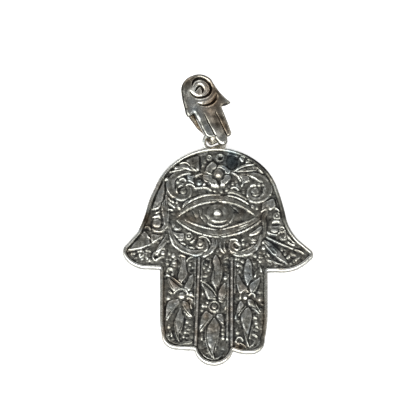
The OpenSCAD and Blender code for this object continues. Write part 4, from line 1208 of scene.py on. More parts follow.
def make_piece(name: str, points: Array, faces: Array, patina: Array, tint: Array | None = None,
               ) -> bpy.types.Object:
    """Object with a smooth mesh at the origin, its place in its points, and a patina for each point.

    Args:
        name: Name of the piece.
        points: Points in mm.
        faces: Triangles or quads.
        patina: Patina with painted shade and painted highlights, from 0, polished bright, to 1, black.
        tint: From -1, blue, to 1, brown, tarnish and at places a painted reflection, or None for no tint.

    Returns:
        The object, linked to the scene.
    """
    mesh = bpy.data.meshes.new(name)
    mesh.from_pydata((points * MM).tolist(), [], faces.tolist())
    mesh.update()
    tint = np.zeros(len(points)) if tint is None else tint
    for key, values in (("patina", np.clip(patina, 0, 1)), ("tint", np.clip(tint, -1, 1))):
        layer = mesh.attributes.new(key, "FLOAT", "POINT")
        layer.data.foreach_set("value", values.astype(np.float32))
    mesh.shade_smooth()
    return linked(name, mesh)


class Nodes:
    """Short hand for building a material's nodes."""

    def __init__(self, name: str) -> None:
        """Starts an empty material.

        Args:
            name: The material's name.
        """
        self.material = bpy.data.materials.new(name)
        self.material.use_nodes = True
        self.tree = self.material.node_tree
        self.tree.nodes.clear()

    def add(self, kind: str, inputs: dict | None = None, **settings: object) -> bpy.types.Node:
        """Adds a node, sets its properties, and fills or links its inputs.

        Args:
            kind: Name of the node's type.
            inputs: Socket name or number to a value or to another node's output.
            settings: Properties of the node.

        Returns:
            The node.
        """
        node = self.tree.nodes.new(kind)
        for key, value in settings.items():
            setattr(node, key, value)
        for key, value in (inputs or {}).items():
            if isinstance(value, Socket):
                self.tree.links.new(value, node.inputs[key])
            else:
                node.inputs[key].default_value = value
        return node

    def noise(self, scale: float, detail: float = 3, rough: float = 0.5) -> Socket:
        """Noise on Object coordinates.

        Args:
            scale: Grains a millimetre.
            detail: Number of finer layers.
            rough: Share of each finer layer.

        Returns:
            Socket with a value about 0.5.
        """
        place = self.add("ShaderNodeTexCoord").outputs["Object"]
        made = self.add("ShaderNodeTexNoise", {"Vector": place, "Scale": scale / MM, "Detail": detail,
                                               "Roughness": rough})
        return made.outputs["Fac"]

    def ramp(self, value: Socket, stops: Sequence[tuple[float, Row]]) -> Socket:
        """Colour ramp.

        Args:
            value: Place on the ramp.
            stops: Place and colour of each stop.

        Returns:
            Socket with the colour.
        """
        node = self.add("ShaderNodeValToRGB", {"Fac": value})
        elements = node.color_ramp.elements
        while len(elements) < len(stops):
            elements.new(0.5)
        for element, (place, colour) in zip(elements, stops):
            element.position = place
            element.color = (*colour, 1)
        return node.outputs["Color"]

    def calc(self, operation: str, a: object, b: object = 0.0, clamp: bool = False) -> Socket:
        """Result of an operation on one or two values."""
        return self.add("ShaderNodeMath", {0: a, 1: b}, operation=operation, use_clamp=clamp).outputs[0]

    def bump(self, height: Socket, strength: float, depth: float, **below: Socket) -> Socket:
        """Normal of a bumpy surface.

        Args:
            height: Height from 0 to 1.
            strength: Strength of the bump.
            depth: Depth of its grains in mm.
            below: Normal, where there is a bump under this one.

        Returns:
            Socket with the normal.
        """
        inputs = {"Height": height, "Strength": strength, "Distance": depth * MM, **below}
        return self.add("ShaderNodeBump", inputs).outputs["Normal"]

    def span(self, value: Socket, low: float, high: float, first: float, last: float) -> Socket:
        """Value mapped from low to high onto first to last, and held there."""
        return self.add("ShaderNodeMapRange", {"Value": value, "From Min": low, "From Max": high,
                                               "To Min": first, "To Max": last}).outputs["Result"]

    def mix(self, share: object, a: object, b: object, blend: str = "MIX") -> Socket:
        """Mix of two colours.

        Args:
            share: How much of the second colour, from 0 to 1.
            a: First colour, or the socket that gives it.
            b: Second colour, or the socket that gives it.
            blend: How the two are joined.

        Returns:
            Socket with the colour.
        """
        node = self.add("ShaderNodeMix", data_type="RGBA", blend_type=blend)
        for socket, value in zip((0, 6, 7), (share, a, b)):
            if isinstance(value, Socket):
                self.tree.links.new(value, node.inputs[socket])
            else:
                node.inputs[socket].default_value = value if socket == 0 else (*value, 1)
        return node.outputs[2]

    def finish(self, inputs: dict) -> bpy.types.Material:
        """Gives the material its surface.

        Args:
            inputs: Inputs of the shader.

        Returns:
            The material.
        """
        shader = self.add("ShaderNodeBsdfPrincipled", inputs)
        self.add("ShaderNodeOutputMaterial", {"Surface": shader.outputs["BSDF"]})
        return self.material


@dataclass(frozen=True)
class Silver:
    """Silver that is black in its hollows and rubbed bright where it stands proud.

    Attributes:
        name: Name of the material.
        bright: Colour of the rubbed metal.
        dull: Colour of the metal under a thin tarnish.
        black: Colour of the oxide.
        polish: Roughness of the rubbed metal.
        matt: Roughness of the oxide.
        warm: Share of brown tarnish.
        cool: Share of blue tarnish.
        grain: Strength of the fine bump.
    """

    name: str
    bright: Row
    dull: Row
    black: Row
    polish: float
    matt: float
    warm: float
    cool: float
    grain: float

    def material(self) -> bpy.types.Material:
        """Builds the material from the patina of the mesh and noise on Object coordinates.

        The patina, which holds painted shade and painted highlights too, with cloudy and speckled noise,
        runs down a ramp from the bright metal over the dull metal to the oxide. Brown and blue tarnish, and
        a painted reflection, are multiplied over it, by noise and by the mesh's tint.

        Returns:
            The material.
        """
        n = Nodes(self.name)
        patina = n.add("ShaderNodeAttribute", attribute_name="patina").outputs["Fac"]
        tint = n.add("ShaderNodeAttribute", attribute_name="tint").outputs["Fac"]
        cloud = n.span(n.noise(0.9, 4, 0.6), 0.3, 0.7, -0.14, 0.14)
        speck = n.span(n.noise(6, 3, 0.6), 0.3, 0.7, -0.1, 0.1)
        tarnish = n.calc("ADD", n.calc("ADD", patina, cloud), speck, clamp=True)
        stops = ((0.0, self.bright), (0.2, self.bright), (0.5, self.dull), (0.8, self.black))
        metal = n.ramp(tarnish, stops)
        brown = n.span(n.noise(0.35, 2), 0.52, 0.72, 0, self.warm)
        blue = n.span(n.noise(0.55, 2), 0.55, 0.75, 0, self.cool)
        brown = n.calc("ADD", brown, n.calc("MAXIMUM", tint, 0.0), clamp=True)
        blue = n.calc("ADD", blue, n.calc("MAXIMUM", n.calc("MULTIPLY", tint, -1.0), 0.0), clamp=True)
        metal = n.mix(brown, metal, BROWN_TARNISH, "MULTIPLY")
        metal = n.mix(blue, metal, BLUE_TARNISH, "MULTIPLY")
        rough = n.calc("ADD", n.span(tarnish, 0.1, 0.9, self.polish, self.matt),
                       n.span(n.noise(3.1, 3), 0.3, 0.7, -0.05, 0.07))
        fine = n.bump(n.noise(11, 4, 0.65), self.grain, 0.02)
        worn = n.bump(n.noise(2.6, 3, 0.55), self.grain, 0.09, Normal=fine)
        return n.finish({"Base Color": metal, "Metallic": 1.0, "Roughness": rough, "Normal": worn})


OXIDISED = Silver(
    name="oxidised_silver",
    bright=(0.93, 0.93, 0.885),
    dull=(0.425, 0.418, 0.368),
    black=(0.06, 0.059, 0.058),
    polish=0.17,
    matt=0.4,
    warm=0.4,
    cool=0.25,
    grain=0.4,
)
POLISHED = Silver(
    name="polished_silver",
    bright=(0.92, 0.92, 0.86),
    dull=(0.455, 0.438, 0.38),
    black=(0.045, 0.043, 0.04),
    polish=0.1,
    matt=0.32,
    warm=0.35,
    cool=0.2,
    grain=0.45,
)


@dataclass
class CastHand:
    """The hand: sunk field, border, relief and flat back, as one casting.

    Attributes:
        width: From thumb tip to thumb tip, in mm.
        height: From the top of the palm to the middle fingertip, in mm.
        field_z: Height of the sunk field above the back, in mm.
        rim_z: Height of the border's crest, in mm.
        rim_w: Width of the border, in mm.
        shoulder_z: Height at which the outer wall turns into the border's round, in mm.
        ridge_h: Height of the fine ridges, in mm.
        band_h: Height of the fluted bands, in mm.
        liner_h: Height of the dull, flat bands, in mm.
        plate_h: Height of the leaves, petals and pads, in mm.
        bevel: Width of their sides, in mm.
        bar_h: Height of the bars between the fingers, in mm.
        line_h: Height of the thin lines beside the bars, in mm.
        bead_h: Height of the largest beads, in mm.
        collar_h: Height of the collars and of the shining facets, in mm.
        boss_h: Height of the bosses in the collars, in mm.
        hollow_d: Depth of the hollows, in mm.
        cut_d: Depth of the engraved lines, in mm.
        step: Length of a step in x and in y, in mm.
        mean_step: Length of a step in both together, in mm.
        relief: Lattice of heights above the field.
    """

    width: float = 38.0
    height: float = 44.5
    field_z: float = 1.3
    rim_z: float = 2.2
    rim_w: float = 0.8
    shoulder_z: float = 1.86
    ridge_h: float = 0.38
    band_h: float = 0.3
    liner_h: float = 0.18
    plate_h: float = 0.22
    bevel: float = 0.17
    bar_h: float = 0.4
    line_h: float = 0.24
    bead_h: float = 0.46
    collar_h: float = 0.3
    boss_h: float = 0.28
    hollow_d: float = 0.2
    cut_d: float = 0.14
    step: Array = field(init=False)
    mean_step: float = field(init=False)
    relief: Relief = field(init=False)

    def __post_init__(self) -> None:
        """Works out the length of a step, and lays out the lattice."""
        self.step = np.array([self.width / 190, self.height / 217])
        self.mean_step = float(np.sqrt(self.step.prod()))
        loop = self.outline()
        self.relief = Relief(loop.min(0) - 0.6, loop.max(0) + 0.6)

    def outline(self) -> Array:
        """Edge of the hand in mm."""
        return closed_outline(HAND_EDGE, self.step, 0.03, 0.1)

    def half(self, width: float | Array) -> float | Array:
        """Half of a width in steps, in mm."""
        return width * self.mean_step / 2

    def straight(self, start: Row, end: Row, count: int) -> Array:
        """Evenly spaced points in mm on the straight line between two places in steps."""
        return np.linspace(start, end, count) * self.step

    def raise_ridges(self, table: Sequence[Row], dull: float) -> None:
        """Raises tapered ridges, each along an arc with a half width that follows a sine to the power 0.66.

        Args:
            table: Rows of three points and the width at the middle, in steps.
            dull: How dark their tops stay at least, from 0 to 1.
        """
        count = 25
        taper = np.sin(np.linspace(0.06, math.pi - 0.06, count)) ** 0.66
        for row in table:
            line = arc_through(*(np.array(row[:6]).reshape(3, 2) * self.step), count)
            self.relief.ridge(line, self.half(row[6]) * taper * 1.1, self.ridge_h, Crest.ROOF, 0.05, dull)

    def raise_bands(self) -> None:
        """Raises the fluted bands of the scrolls, and the dull, flat ones of lids, stems and fingertips."""
        kinds = ((BANDS, self.band_h, Crest.FLUTE, 0.06, 0), (LINERS, self.liner_h, Crest.FLAT, 0.04, 0.46))
        for table, height, crest, sink, dull in kinds:
            for knots in table:
                line = smooth_line(np.array(knots, float), 8)
                self.relief.ridge(line[:, :2] * self.step, self.half(line[:, 2]), height, crest, sink, dull)

    def raise_plates(self) -> None:
        """Raises the bodies of the leaves, petals and pads."""
        for knots in PLATES:
            loop = smooth_line(np.array(knots, float), 6, True) * self.step
            self.relief.plate(loop, self.plate_h, self.bevel)

    def raise_beads(self) -> None:
        """Raises the beads, each a little higher or lower than the next, and the shining facets."""
        chance = np.random.default_rng(Seed.BEADS).uniform(0, 1, (len(BEADS), 2))
        for (x, y, radius), (tall, worn) in zip(BEADS, chance):
            size = radius * self.mean_step
            height = min(self.bead_h, size) * (0.5 + 0.35 * tall)
            dull = 0.3 if radius > LARGE_BEAD else 0.26 + 0.5 * worn
            self.relief.bead(*(self.step * (x, y)), size, height, dull)
        for x, y, radius in FACETS:
            self.relief.bead(*(self.step * (x, y)), radius * self.mean_step, self.collar_h, 0, FACET_LEAN)

    def raise_collars(self) -> None:
        """Raises the collars and the boss in each."""
        angle = np.linspace(0, math.tau, 41)
        for x, y, radius, width, boss in COLLARS:
            centre = self.step * (x, y)
            circle = centre + radius * self.mean_step * ring_of_points(angle)
            half = np.full(len(angle), self.half(width))
            self.relief.ridge(circle, half, self.collar_h, Crest.ROOF, 0.06, 0.36)
            self.relief.bead(*centre, boss * self.mean_step, self.boss_h, 0.3)

    def raise_bars(self) -> None:
        """Raises the bars between the fingers, flat on top, with a groove on each side, and thin lines."""
        for x0, y0, width0, x1, y1, width1 in BARS:
            line = self.straight((x0, y0), (x1, y1), 60)
            half = self.half(np.linspace(width0, width1, 60))
            self.relief.cut(line, half + 0.18, 0.12, 0.66)
            self.relief.ridge(line, half, self.bar_h, Crest.FLAT, 0, 0, 1.7)
        for x0, y0, x1, y1, width in BAR_LINES:
            line = self.straight((x0, y0), (x1, y1), 30)
            self.relief.ridge(line, np.full(30, self.half(width)), self.line_h, Crest.ROOF, 0.05)

    def raise_eye(self) -> None:
        """Raises the ball of the eye between the lids, its iris and its pupil."""
        self.relief.oval(*(self.step * (2, -1)), self.step * (34, 12.5), 0.16, 1.2)
        self.relief.oval(*(self.step * (1.5, 0.5)), self.step * (14, 11), 0.24, 0.7)
        self.relief.bead(*(self.step * (1.5, 0.6)), 4.6 * self.mean_step, 0.5, 0.1, 0.45)

    def sink_lines(self) -> None:
        """Sinks the blackened hollows and cuts the engraved lines."""
        for x, y, *half in HOLLOWS:
            self.relief.oval(*(self.step * (x, y)), self.step * half, -self.hollow_d, 0.5, 0.68)
        for x0, y0, x1, y1, width in CUTS:
            line = self.straight((x0, y0), (x1, y1), 16)
            self.relief.cut(line, np.full(16, self.half(width)), self.cut_d)

    def carve(self) -> None:
        """Draws the whole relief, wears it and softens it as casting does."""
        relief = self.relief
        relief.heights += 0.022 * relief.grain(2.4, Seed.FIELD)
        self.raise_plates()
        self.raise_bands()
        self.raise_eye()
        self.raise_bars()
        for table in (EYE_RIDGES, SCROLL_RIDGES, PETAL_RIDGES, LEAF_RIDGES):
            self.raise_ridges(table, PALM_DULL)
        self.raise_ridges(FINGER_RIDGES, FINGER_DULL)
        self.raise_beads()
        self.raise_collars()
        self.sink_lines()
        relief.heights += 0.012 * relief.grain(2, Seed.RUB, 14) * relief.rubbed
        relief.heights *= 1 + 0.05 * relief.grain(5, Seed.UNEVEN)
        relief.heights += 0.02 * relief.grain(4.5, Seed.CAST) + 0.006 * relief.grain(1.8, Seed.FINE_CAST)
        relief.heights = blurred(relief.heights, 0.9)

    def patina(self) -> Array:
        """Blackness of the lattice: black where it lies below its surroundings, bright where above.

        The hollow is the height averaged over a quarter of a millimetre, less the height itself, and
        a weaker one is averaged over three quarters. What is rubbed bright is streaked lengthwise.

        Returns:
            Lattice from 0, bright, to 1, black.
        """
        relief = self.relief
        hollow = blurred(relief.heights, 5) - relief.heights
        wide = blurred(relief.heights, 14) - relief.heights
        rubbed = (0.06 + 0.05 * relief.grain(1.6, Seed.SHADE, 12)) * relief.rubbed
        shade = np.clip(FIELD_SHADE + 3.2 * hollow + 0.6 * wide - rubbed, 0.02, 1)
        return np.maximum(np.maximum(shade, relief.soot), relief.dull)

    def profile(self) -> tuple[Array, Array]:
        """Border's profile inwards from the wall's top, and the wall's down to the back.

        The outer half is a quarter of an ellipse up to the crest, and the inner half falls to the
        field as a power curve with a steep foot.

        Returns:
            Rows of distance inside the outline and height, for the border and for the wall, in mm.
        """
        half = self.rim_w / 2
        out = np.array([0, 0.02, 0.07, 0.15, 0.26, 0.4]) / 0.4 * half
        rise = self.shoulder_z + (self.rim_z - self.shoulder_z) * np.sqrt(1 - ((half - out) / half) ** 2)
        inner = np.array([0.5, 0.58, 0.66, 0.72, 0.77, 0.8]) / 0.8 * self.rim_w
        falling = (1 - np.clip((inner - half) / half, 0, 1) ** 2.4) ** 0.7
        fall = self.field_z + (self.rim_z - self.field_z) * falling
        upright = [(0, height) for height in (self.shoulder_z, 1.74, 1.15, 0.95, 0.5, 0.3)]
        wall = np.array(upright + [(0.07, 0.04), (0.16, 0)])
        return np.column_stack([np.concatenate([out, inner]), np.concatenate([rise, fall])]), wall

    def blacken(self, casting: Casting, points: Array) -> Array:
        """Patina of the mesh: the relief's, and over it the border's, the wall's and the back's.

        The border is painted brightest where it runs across, a painted highlight, and painted dark along
        its outer edge, least where that faces -y, a painted shade; darker lengths of it are painted shade
        too, and its foot is black. The relief's patina has tarnish, painted shade and painted highlights
        added at places. The wall is painted grey in the middle and black above and below, a painted shade.

        Args:
            casting: The casting.
            points: Points of the mesh in mm.

        Returns:
            Patina of each point.
        """
        relief, flat, z = self.relief, points[:, :2], points[:, 2]
        # Relief's patina, with tarnish, painted shade and painted highlights added at places
        patina = relief.at(self.patina(), flat) + spots(points, TARNISH_AND_SHEEN, self.step)
        depth = relief.at(casting.depth, flat)
        border = smooth_step((self.rim_w - 0.1 - depth) / 0.1)
        # Painted shade on lengths of the border
        border_shade = np.clip(spots(points, BORDER_SHADE, self.step), 0, 0.75)
        south = relief.inwards(casting.depth, points)[:, 1]
        # Painted shade along the border's outer edge, lighter where it faces -y
        edge = (0.85 - 0.35 * np.clip(south, 0, 1)) * np.exp(-((depth / 0.12) ** 2))
        # Painted highlight where the border runs across, painted shade where it runs up and down
        patina = patina * (1 - border) + np.maximum(0.36 - 0.28 * np.abs(south) + border_shade, edge) * border
        foot = np.exp(-(((depth - self.rim_w - 0.02) / 0.12) ** 2))
        patina = np.maximum(patina, foot)
        # Painted shade on the wall, black low and high
        side = (z < self.shoulder_z - 0.1) & (depth < 0.2)
        patina = np.where(side, np.interp(z, *np.transpose(PAINTED_WALL_SHADE)), patina)
        return np.where(z < 0.02, BACK_PATINA, patina)

    def build(self) -> bpy.types.Object:
        """Builds the casting and dresses it.

        Returns:
            The piece.
        """
        self.carve()
        casting = Casting(self.outline(), self.relief, *self.profile(), self.field_z,
                          pace=0.13, fine=0.13, coarse=0.3)
        points, faces = casting.build()
        patina = self.blacken(casting, points)
        return make_piece("cast_hand", points, faces, patina, spots(points, TINTS, self.step))


@dataclass
class SolderedRing:
    """Wire ring soldered behind the hand's upper edge.

    Attributes:
        hand: The hand that it is soldered to.
        wire: Thickness of the wire in mm.
        hole: Diameter of the hole in mm.
        seat: Height of the wire where it is soldered, in mm.
        rise: Angle at which it rises from the hand, in degrees.
        foot: Place on the hand's edge over which it stands, in steps.
        show: Share of the hole from that place to the ring's centre.
        solder: How far the solder fills the foot of the hole, in half thicknesses of the wire.
        fill_at: Angle round the ring at which it fills most, 0 over +x, in degrees.
        around: Number of points round the ring.
        across: Number of points round the wire.
    """

    hand: CastHand
    wire: float = 0.9
    hole: float = 3.2
    seat: float = 1.25
    rise: float = 13.0
    foot: Row = (-1.7, 67)
    show: float = 0.36
    solder: float = 2.04
    fill_at: float = -70.0
    around: int = 96
    across: int = 24

    @property
    def radius(self) -> float:
        """Radius of the wire's middle line, in mm."""
        return (self.hole + self.wire) / 2

    @property
    def centre(self) -> Array:
        """Centre of the ring in plan, in mm."""
        return np.array(self.foot) * self.hand.step + (0, self.hole * self.show)

    def build(self) -> bpy.types.Object:
        """Builds the ring as a circle of wire, swept round its centre and turned up about its foot.

        A point at angle a round the ring and b round the wire lies at radius R + r cos b, height
        r sin b. The solder widens the wire inwards, by the power 1.1 of the cosine of the angle from
        where it fills most, and the wire stays under the field where it passes below the hand.

        Returns:
            The ring.
        """
        big, small = self.radius, self.wire / 2
        turns = (np.arange(count) / count * math.tau for count in (self.around, self.across))
        a, b = np.meshgrid(*turns, indexing="ij")
        fill = 1 + self.solder * np.clip(np.cos(a - math.radians(self.fill_at)), 0, 1) ** 1.1
        out = big + small * np.cos(b) * np.where(np.cos(b) < 0, fill, 1)
        flat = np.stack([out * np.cos(a), out * np.sin(a) + big, small * np.sin(b)], -1).reshape(-1, 3)
        points = flat @ turn("x", self.rise).T
        points += (*(self.centre - (0, big)), self.seat)
        within = points[:, 1] < self.foot[1] * self.hand.step[1] - 0.6 * self.hand.rim_w
        points[:, 2] = np.where(within, np.minimum(points[:, 2], self.hand.field_z - 0.1), points[:, 2])
        soiled = np.where(np.cos(b) < 0, (fill - 1) / self.solder, 0)
        # The wire is darker away from its top, and darker where the solder fills
        patina = (0.15 + 0.6 * (1 - np.clip(np.sin(b), 0, 1)) ** 1.5 + 0.4 * soiled).reshape(-1)
        return make_piece("soldered_ring", points, grid_faces(self.around, self.across), patina)


def turn(axis: str, degrees: float) -> Array:
    """Matrix that turns by the right-hand rule about x, y or z."""
    c, s = math.cos(math.radians(degrees)), math.sin(math.radians(degrees))
    return np.array({"x": ((1, 0, 0), (0, c, -s), (0, s, c)), "y": ((c, 0, s), (0, 1, 0), (-s, 0, c)),
                     "z": ((c, -s, 0), (s, c, 0), (0, 0, 1))}[axis])


def grid_faces(rows: int, columns: int) -> Array:
    """Quads of a surface closed both ways, from rows rings of columns points.

    Args:
        rows: Number of rings.
        columns: Points in each.

    Returns:
        Four point numbers a face.
    """
    i, j = np.meshgrid(np.arange(rows), np.arange(columns), indexing="ij")
    down, right = (i + 1) % rows, (j + 1) % columns
    return np.stack([i * columns + j, down * columns + j, down * columns + right, i * columns + right],
                    -1).reshape(-1, 4)


@dataclass
class Bail:
    """The small hamsa with its spiral, and the strap behind it that holds chain and ring.

    Attributes:
        ring: The ring that it hangs on.
        width: From thumb tip to thumb tip, in mm.
        height: Height of the small hand, in mm.
        thick: Thickness of the small hand, in mm.
        pillow_w: Width of the rounded margin of its front, in mm.
        pillow_h: How far its front falls to the edge, in mm.
        groove_d: Depth of its grooves, in mm.
        strap_t: Thickness of the strap, in mm.
        strap_w: Width of the strap where the chain runs, in mm.
        strap_in: How far the strap's front lies under the small hand's front, in mm.
        held_in: How much further it is held under the grooves, in mm.
        strap_top: Upper end of the strap, in steps from the spiral.
        strap_foot: Lower end of the strap, in steps from the spiral.
        tongue_at: Middle of the tongue, in steps from the spiral.
        tongue_w: Width of the strap in the ring, in mm.
        chain_room: Room for the chain, in mm.
        wire_room: Room on each side of the ring's wire, in mm.
        drop: How far below the ring's centre the tongue hangs, in mm.
        lift: How far above the ring's centre it stands, in mm.
        turn_left: Turn of the bail to the left, in degrees.
        rise: Angle at which its upper end rises, in degrees.
        lean: Angle at which its face leans to the right, in degrees.
        around: Number of points round the strap's section.
        step: Length of a step in x and in y, in mm.
    """

    ring: SolderedRing
    width: float = 9.8
    height: float = 15.1
    thick: float = 1.0
    pillow_w: float = 0.5
    pillow_h: float = 0.36
    groove_d: float = 0.16
    strap_t: float = 0.7
    strap_w: float = 6.2
    strap_in: float = 0.15
    held_in: float = 0.64
    strap_top: float = 12
    strap_foot: float = -54.5
    tongue_at: float = -5.6
    tongue_w: float = 1.8
    chain_room: float = 3.2
    wire_room: float = 0.75
    drop: float = 0.2
    lift: float = 0.3
    turn_left: float = 23.9
    rise: float = 8.5
    lean: float = 12.0
    around: int = 28
    step: Array = field(init=False)

    def __post_init__(self) -> None:
        """Works out the length of a step, in mm."""
        self.step = np.array([self.width / 49, self.height / 75])

    def outline(self) -> Array:
        """Edge of the small hand in mm."""
        return closed_outline(SMALL_EDGE, self.step, 0.03, 0.12)

    def lower_bend(self) -> tuple[float, float]:
        """Outer radius of the strap's bend in the ring, and the y of its centre, in mm."""
        radius = self.ring.wire / 2 + self.wire_room + self.strap_t
        return radius, self.strap_foot * self.step[1] + radius

    def seat(self, points: Array) -> Array:
        """Puts points of the bail where it hangs on the ring.

        The middle of the tongue goes to the middle of the ring, and the bail is leaned, raised and
        turned about it.

        Args:
            points: Points with x to the right, y up and z out of the small hand's face, in mm.

        Returns:
            Points in the pendant's frame, in mm.
        """
        bend, bend_y = self.lower_bend()
        tongue = np.array([self.tongue_at * self.step[0], bend_y - bend + self.strap_t / 2,
                           -self.strap_in - bend])
        x, y = self.ring.centre
        high = self.ring.seat + self.ring.radius * math.sin(math.radians(self.ring.rise))
        place = np.array([x, y - self.drop, high + self.lift])
        turned = turn("z", self.turn_left) @ turn("x", self.rise) @ turn("y", self.lean)
        return (points - tongue) @ turned.T + place

    def groove(self, relief: Relief, line: Array, half: Array, flank: float, soot: float) -> None:
        """Cuts a groove whose shoulders are rounded off, by a square of how near a point is to it.

        Args:
            relief: The lattice.
            line: Middle line in mm.
            half: Half width at each point of it, in mm.
            flank: How many half widths the shoulders reach.
            soot: How black its floor is, from 0 to 1.
        """
        window, share, width = relief.closeness(line, half * flank)
        fall = -0.5 * width * np.clip(1 - share, 0, 1) ** 2
        relief.heights[window] = np.minimum(relief.heights[window], fall)
        relief.cut(line, half, self.groove_d, soot)

    def carve(self) -> Relief:
        """Cuts the spiral and the lines between the fingers into the small hand's front.

        Returns:
            The lattice.
        """
        loop = self.outline()
        relief = Relief(loop.min(0) - 0.5, loop.max(0) + 0.5, 0.04)
        back = turn("z", -self.turn_left)[:2, :2]
        for knots, share, flank in ((SPIRAL, 0.5, 3.6), (SPIRAL_TAIL, 0.5, 3.6), (SPIRAL_EYE, 0.5, 2.6)):
            line = smooth_line(np.array(knots, float), 10)
            flat = (line[:, :2] * self.step) @ back.T
            self.groove(relief, flat, line[:, 2] * self.step[0] * share, flank, 1)
        for x0, y0, x1, y1, flank in SMALL_CUTS:
            line = np.linspace((x0, y0), (x1, y1), 40) * self.step
            self.groove(relief, line, np.linspace(0.08, 0.22, 40), flank, 0.9)
        relief.heights += 0.07 * relief.grain(14, Seed.BAIL)
        relief.heights = blurred(relief.heights, 1.4)
        return relief

    def pillow(self, depth: Array) -> Array:
        """Height of the front at a distance inside its edge, a fall by the power 1.5, in mm."""
        return -self.pillow_h * np.clip(1 - depth / self.pillow_w, 0, 1) ** 1.5

    def profile(self) -> tuple[Array, Array]:
        """Front's profile inwards from the wall's top, and the wall's down to the back.

        Returns:
            Rows of distance inside the outline and height, for the front's margin and for the wall.
        """
        inwards = np.array([0, 0.02, 0.06, 0.12, 0.2, 0.3, 0.42])
        front = np.column_stack([inwards, self.pillow(inwards)])
        low, back = front[0, 1], -self.thick
        wall = np.array([(0, low), (0, low - 0.14), (0, back + 0.1), (0.02, back + 0.03), (0.06, back)])
        return front, wall

    def blacken(self, casting: Casting, points: Array) -> Array:
        """Patina of the small hand: black in its grooves, with painted shade at places and along its edge,
        most on the right.

        Args:
            casting: The casting.
            points: Points of the mesh in mm.

        Returns:
            Patina of each point.
        """
        relief, flat = casting.relief, points[:, :2]
        hollow = blurred(relief.heights, 6) - relief.heights
        shade = np.maximum(np.clip(0.27 + 2.2 * hollow, 0, 1), relief.soot)
        way = relief.inwards(casting.depth, points)
        sides = (-way[:, 0], way[:, 0], way[:, 1], -way[:, 1])
        right, left, low, high = (np.clip(side, 0, 1) for side in sides)
        # Painted shade along the edge, reaching furthest on the right
        reach = 0.17 + 0.3 * right + 0.15 * left + 0.06 * low + 0.08 * high
        edge = 0.9 * np.exp(-((relief.at(casting.depth, flat) / reach) ** 2))
        # Painted shade at places on the small hand
        patina = relief.at(shade, flat) + spots(points, SMALL_PAINTED_SHADE, self.step)
        return np.where(points[:, 2] > 0.1 - self.thick, np.maximum(patina, edge), 0.3)

    def small_hand(self) -> bpy.types.Object:
        """Builds the small hand: a pillowed front with the spiral, and a flat back.

        Returns:
            The piece.
        """
        casting = Casting(self.outline(), self.carve(), *self.profile(), UNREACHED,
                          pace=0.09, fine=0.085, coarse=0.2, ground=self.pillow)
        points, faces = casting.build()
        patina = self.blacken(casting, points)
        # Tarnish and a painted reflection, brown on the right of the palm
        tint = spots(points, SMALL_TINTS_AND_REFLECTION, self.step)
        return make_piece("bail_hand", self.seat(points), faces, patina, tint)

    def strap_path(self) -> tuple[Array, Array]:
        """Middle line of the strap seen from its side: two circles and the lines that touch both.

        Returns:
            Evenly spaced rows of y and z in mm, and the unit way outwards at each.
        """
        bend, bend_y = self.lower_bend()
        top = self.chain_room / 2 + self.strap_t
        radii = np.array([top, bend]) - self.strap_t / 2
        centres = np.array([(self.strap_top * self.step[1] - top, -self.strap_in - top),
                            (bend_y, -self.strap_in - bend)])
        gap = centres[0] - centres[1]
        heading = math.atan2(gap[1], gap[0])
        spread = math.acos((radii[0] - radii[1]) / np.linalg.norm(gap))
        upper = np.linspace(heading + spread, heading - spread, 60)
        lower = np.linspace(heading - spread, heading + spread - math.tau, 60)
        bends = zip(centres, radii, (upper, lower))
        loop = np.vstack([centre + radius * ring_of_points(angle) for centre, radius, angle in bends])
        path = spaced_evenly(loop, 0.14)
        way = np.roll(path, -1, 0) - np.roll(path, 1, 0)
        way /= np.linalg.norm(way, axis=1)[:, None]
        outward = np.stack([-way[:, 1], way[:, 0]], -1)
        return path, outward * np.sign(((path - centres.mean(0)) * outward).sum(1).mean())

    def strap_sides(self, y: Array) -> Array:
        """Left and right edge of the strap: the tongue's up to its top, then through the table's knots.

        Args:
            y: Height in mm.

        Returns:
            Rows of both edges' x in mm.
        """
        knots = np.array(STRAP_SIDES)
        places = np.append(TONGUE_TOP, knots[:, 0]) * self.step[1]
        middle = self.tongue_at * self.step[0]
        tongue = (middle - self.tongue_w / 2, middle + self.tongue_w / 2)
        sides = [np.append(edge, shares * self.strap_w) for edge, shares in zip(tongue, knots[:, 1:].T)]
        return np.stack([np.interp(y, places, side) for side in sides], -1)

    def strap(self) -> bpy.types.Object:
        """Builds the strap: a rounded strip carried round a closed loop.

        The section is level in the middle and rounded to both edges, by powers of the cosine and the
        sine of the angle round it. The strap's front is held under the grooves of the small hand.

        Returns:
            The strap.
        """
        path, outward = self.strap_path()
        sides = self.strap_sides(path[:, 0])
        middle, half = sides.mean(1)[:, None], np.diff(sides, axis=1) / 2
        b = np.arange(self.around) / self.around * math.tau
        across = np.sign(np.cos(b)) * np.abs(np.cos(b)) ** 0.5
        along = np.sign(np.sin(b)) * np.abs(np.sin(b)) ** 0.62
        level, edge = 0.6, np.minimum(half, 0.34)
        outer = np.sign(across) * (half - edge) + np.sign(across) * edge * (np.abs(across) - level) / 0.4
        x = middle + np.where(np.abs(across) > level, outer, across / level * (half - edge))
        place = path[:, None, :] + outward[:, None, :] * (along * (self.strap_t / 2))[None, :, None]
        sunk = smooth_step((place[..., 0] / self.step[1] + 47) / 5)
        under = np.minimum(place[..., 1], -self.strap_in - self.held_in * sunk)
        points = np.stack([x, place[..., 0], under], -1).reshape(-1, 3)
        faces = grid_faces(len(path), self.around)
        # Painted shade where the strap runs under the small hand; darker at its rounded edges
        patina = (0.3 + 0.16 * sunk + 0.4 * smooth_step((np.abs(across) - 0.75) * 5)).reshape(-1)
        tint = (0.35 + 0.25 * sunk).reshape(-1)
        return make_piece("bail_strap", self.seat(points), faces, patina, tint)


